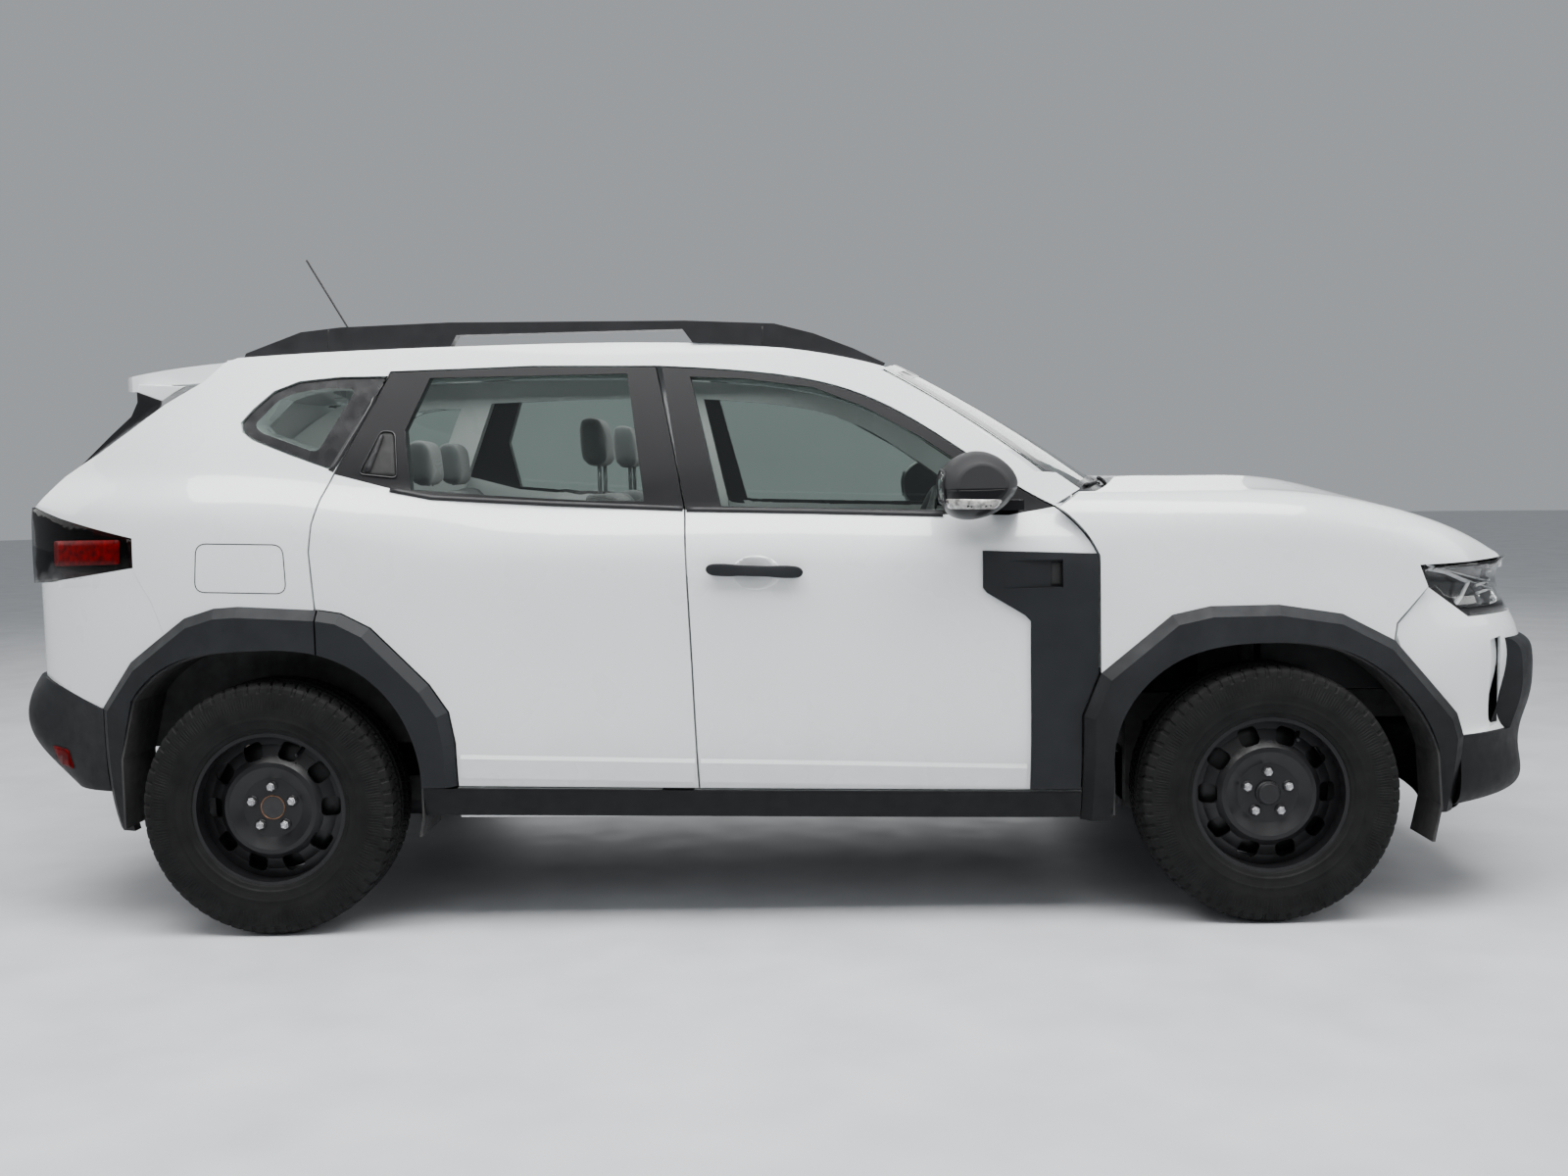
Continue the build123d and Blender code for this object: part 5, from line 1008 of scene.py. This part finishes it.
strip("rear_blade", REAR_SCREEN, [(0.02, 1.232), (-0.30, 1.250)], rear_ray, -1, 0.03, BLADE, BLACK, "tailgate",
      BLADE_LIFT)
strip("rear_arm", REAR_SCREEN, [(0.05, 1.214), (-0.14, 1.241)], rear_ray, -1, 0.03, tube(0.0065, 8), BLACK,
      "tailgate", 0.015)

# Seats: pads swollen by cloth simulation, with sewn channels and stitching
VOXEL = 0.016
SHRINK = 0.016
SWELL_CAP = 0.015
SWELL_STEPS = 20
PRESSURE = 4.0
PAD_EDGE = 0.030
CHANNEL_DEEP = 0.009
CHANNEL_WIDE = 0.009
THREAD_STEPS = 32
THREAD = plastic("stitch_thread", (0.10, 0.10, 0.105), (0.16, 0.16, 0.165), (0.7, 0.9), 900, 0.3)


def evaluated(piece, name):
    graph = bpy.context.evaluated_depsgraph_get()
    mesh = bpy.data.meshes.new_from_object(piece.evaluated_get(graph))
    piece.modifiers.clear()
    piece.data = mesh
    mesh.name = name
    return piece


def swollen(piece, name):
    # The cover blown up by pressure, each point held to a small move
    before = [v.co.copy() for v in piece.data.vertices]
    cloth = piece.modifiers.new("swell", "CLOTH")
    cloth.settings.use_pressure = True
    cloth.settings.uniform_pressure_force = PRESSURE
    cloth.settings.effector_weights.gravity = 0.0
    for step in range(1, SWELL_STEPS + 1):
        bpy.context.scene.frame_set(step)
    evaluated(piece, name)
    bpy.context.scene.frame_set(1)
    for v, start in zip(piece.data.vertices, before):
        move = v.co - start
        if move.length > SWELL_CAP:
            v.co = start + move * (SWELL_CAP / move.length)


def pad(name, outline, centre, width, front, channels, dip=0.0):
    # A side outline as a soft block across the vehicle; front is the way its face looks
    middle = sum((Vector(p) for p in outline), Vector((0, 0))) / len(outline)
    shape = bmesh.new()
    ends = []
    for y in (centre - width / 2 + SHRINK, centre + width / 2 - SHRINK):
        ring = []
        for p in outline:
            arm = Vector(p) - middle
            arm *= (arm.length - SHRINK) / arm.length
            ring.append(shape.verts.new((middle.x + arm.x, y, middle.y + arm.y)))
        ends.append(ring)
    prism(shape, *ends)
    made = bmesh_piece(name, shape, CLOTH, "body")
    edge = made.modifiers.new("edge", "BEVEL")
    edge.width = PAD_EDGE
    edge.segments = 4
    remesh = made.modifiers.new("even_cells", "REMESH")
    remesh.mode = "VOXEL"
    remesh.voxel_size = VOXEL
    evaluated(made, name)
    swollen(made, name)
    fine = made.modifiers.new("fine", "SUBSURF")
    fine.levels = 1
    evaluated(made, name)
    face = Vector((front[0], 0, front[1])).normalized()
    along = Vector((-face.z, 0, face.x))
    moves = []
    for v in made.data.vertices:
        facing = max(0.0, v.normal.dot(face))
        across = abs(v.co.y - centre)
        sink = dip * max(0.0, 1 - (across / (0.36 * width)) ** 2)
        place_along = (v.co - Vector((middle.x, 0, middle.y))).dot(along)
        for kind, at in channels:
            gap = abs(across - at) if kind == "long" else abs(place_along - at)
            if kind == "long" or across < 0.32 * width:
                sink += CHANNEL_DEEP * math.exp(-(gap / CHANNEL_WIDE) ** 2)
        moves.append(face * (-sink * facing))
    for v, move in zip(made.data.vertices, moves):
        v.co += move
    made.data.polygons.foreach_set("use_smooth", [True] * len(made.data.polygons))
    made.data.materials.clear()
    made.data.materials.append(CLOTH)
    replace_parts(made, "seats")
    corners = [v.co.copy() for v in made.data.vertices]
    tree = BVHTree.FromPolygons(corners, [p.vertices[:] for p in made.data.polygons])
    reach = max(abs((Vector((p[0] - middle.x, 0, p[1] - middle.y))).dot(along)) for p in outline) - 0.05
    threads = []
    for kind, at in channels:
        for sign in ((-1, 1) if kind == "long" else (1,)):
            path = []
            outs = []
            for i in range(THREAD_STEPS + 1):
                t = 2 * i / THREAD_STEPS - 1
                y, p = (sign * at, t * reach) if kind == "long" else (t * 0.30 * width, at)
                start = Vector((middle.x, centre + y, middle.y)) + along * p + face * 0.5
                spot, out = cast(tree, start, -face)
                path.append(spot)
                outs.append(out)
            label = f"{name}_thread_{kind}_{at}_{sign}"
            threads.append(sweep(label, path, outs, tube(0.0012, 6), THREAD, "body"))
    if threads:
        joined(f"{name}_stitching", threads, THREAD, "body")
    return made


SEAT_Y = 0.37
CUSHION_PAD = [(-0.351, 0.480), (0.179, 0.500), (0.189, 0.660), (-0.351, 0.630)]
BACK_PAD = [(-0.361, 0.580), (-0.241, 0.580), (-0.451, 1.190), (-0.551, 1.190)]
HEAD_PAD = [(-0.556, 1.230), (-0.461, 1.230), (-0.481, 1.400), (-0.566, 1.400)]
BENCH_PAD = [(-0.8295, 0.555), (-0.5515, 0.540), (-0.5415, 0.700), (-1.0715, 0.670), (-1.0715, 0.555)]
BENCH_BACK = [(-1.0415, 0.630), (-0.9215, 0.630), (-1.0615, 1.210), (-1.1615, 1.210)]
REAR_HEAD = [(x - 0.6005, z - 0.045) for x, z in HEAD_PAD]
CUSHION_SEAMS = (("long", 0.155), ("cross", 0.06))
BACK_SEAMS = (("long", 0.145), ("cross", -0.05))
BENCH_SEAMS = (("long", 0.19), ("long", 0.52))
for word, side in SIDES:
    pad(f"seat_cushion_{word}", CUSHION_PAD, side * SEAT_Y, 0.50, (0, 1), CUSHION_SEAMS, 0.018)
    pad(f"seat_back_{word}", BACK_PAD, side * SEAT_Y, 0.47, (0.95, 0.32), BACK_SEAMS, 0.018)
    pad(f"seat_head_{word}", HEAD_PAD, side * SEAT_Y, 0.26, (1, 0.1), (), 0.006)
    posts = bmesh.new()
    for y in (-0.06, 0.06):
        turned(posts, [(0.006, 0.0), (0.006, 0.09)], (-0.503, side * SEAT_Y + y, 1.165), (0, 0, 1), 16)
    bmesh_piece(f"seat_posts_{word}", posts, METAL, "body")
    runners = bmesh.new()
    for y in (-0.15, 0.15):
        cube(runners, (0.40, 0.035, 0.145), Matrix.Translation((-0.091, side * SEAT_Y + y, 0.4125)))
    rounded(bmesh_piece(f"seat_runners_{word}", runners, CABIN, "body", smooth=False), 0.006)
pad("bench_cushion", BENCH_PAD, 0.0, 1.24, (0, 1), BENCH_SEAMS, 0.010)
pad("bench_back", BENCH_BACK, 0.0, 1.24, (0.97, 0.23), BENCH_SEAMS, 0.010)
for index, y in enumerate((-0.4, 0.0, 0.4)):
    pad(f"bench_head_{index}", REAR_HEAD, y, 0.24, (1, 0.1), (), 0.006)

# Front grille fins and lower intake
GRILLE = surface("grille")
for row in range(4):
    level = 0.812 + 0.024 * row
    points = [(-0.425, level), (0.425, level)]
    strip(f"grille_bar_{row}", GRILLE, points, front_ray, -1, 0.03, bar(0.009, 0.006), GLOSS, "body")
fins = []
for i in range(35):
    across = -0.41 + 0.82 * i / 34
    points = [(across, 0.806), (across + 0.012, 0.892)]
    fins.append(strip(f"grille_fin_{i}", GRILLE, points, front_ray, -1, 0.02, bar(0.005, 0.004), BLACK, "body"))
joined("grille_fins", fins, BLACK, "body")
NOSE = surface("front_bumper_lower")
intake = softened([(-0.44, 0.40), (0.44, 0.40), (0.50, 0.56), (-0.50, 0.56)], 0.04)
# Painted shade: a dark sheet across the intake opening behind the slats
patch("intake", NOSE, intake, front_ray, -1, 0.0008, 0.0006, SHADOW, "body", 0.05)
strip("intake_rim", NOSE, intake, front_ray, -1, 0.02, bar(0.014, 0.008), CHARCOAL, "body", closed=True)
for row in range(5):
    level = 0.425 + 0.028 * row
    wide = 0.435 + 0.4 * (level - 0.40)
    points = [(-wide, level), (wide, level)]
    strip(f"intake_slat_{row}", NOSE, points, front_ray, -1, 0.04, bar(0.008, 0.006), BLACK, "body")


# Camera at the photograph's place
def photo_camera():
    right, up, ahead = camera_axes()
    data = bpy.data.cameras.new("photo_camera")
    data.sensor_width = SENSOR
    data.lens = SENSOR * FOCAL / PHOTO_WIDE
    made = placed("photo_camera", data)
    turn = Matrix((right, up, -ahead)).transposed().to_4x4()
    made.matrix_world = Matrix.Translation(CAMERA_SPOT) @ turn
    bpy.context.scene.camera = made


photo_camera()


# Floor and soft studio light
FLOOR_RADIUS = 40
# Each light: place, aim, width, height, power
LIGHTS = (((0, -2.2, 5.5), (0, -0.4, 0.5), 8.0, 3.0, 820), ((-1, -8, 4.5), (0, 0, 0.8), 8.0, 4.0, 80),
          ((7, -2, 4), (0, 0, 0.7), 5.0, 4.0, 160), ((-7, 1, 4), (0, 0, 0.7), 5.0, 4.0, 140),
          ((0, 8, 4.5), (0, 0, 0.8), 8.0, 4.0, 240))
CABIN_LIGHT = ((-0.75, 0, 1.50), (-0.75, 0, 0.5), 1.5, 0.8, 14)


def area_light(name, spot, aim, wide, tall, power):
    data = bpy.data.lights.new(name, "AREA")
    data.shape = "RECTANGLE"
    data.size = wide
    data.size_y = tall
    data.energy = power
    lamp = placed(name, data)
    lamp.location = spot
    lamp.rotation_euler = (Vector(aim) - Vector(spot)).to_track_quat("-Z", "Y").to_euler()
    return lamp


def studio():
    shape = bmesh.new()
    bmesh.ops.create_circle(shape, cap_ends=True, segments=96, radius=FLOOR_RADIUS)
    mesh = bpy.data.meshes.new("floor")
    shape.to_mesh(mesh)
    shape.free()
    floor = placed("floor", mesh)
    mat = new_material("floor", (0.6, 0.61, 0.63), 0.6)
    mesh.materials.append(mottled(mat, (0.50, 0.51, 0.53), (0.58, 0.59, 0.61), 3, (0.45, 0.6)))
    floor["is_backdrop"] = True
    for index, light in enumerate(LIGHTS):
        area_light(f"soft_{index}", *light)
    # The cabin's light brightens the seats without being seen itself
    cabin = area_light(f"soft_{len(LIGHTS)}", *CABIN_LIGHT)
    cabin.visible_camera = False
    cabin.visible_glossy = False
    cabin.visible_transmission = False
    world = bpy.data.worlds.new("studio")
    bpy.context.scene.world = world
    world.use_nodes = True
    world.node_tree.nodes["Background"].inputs["Color"].default_value = (0.80, 0.84, 0.88, 1)
    world.node_tree.nodes["Background"].inputs["Strength"].default_value = 0.45


studio()

low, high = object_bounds()
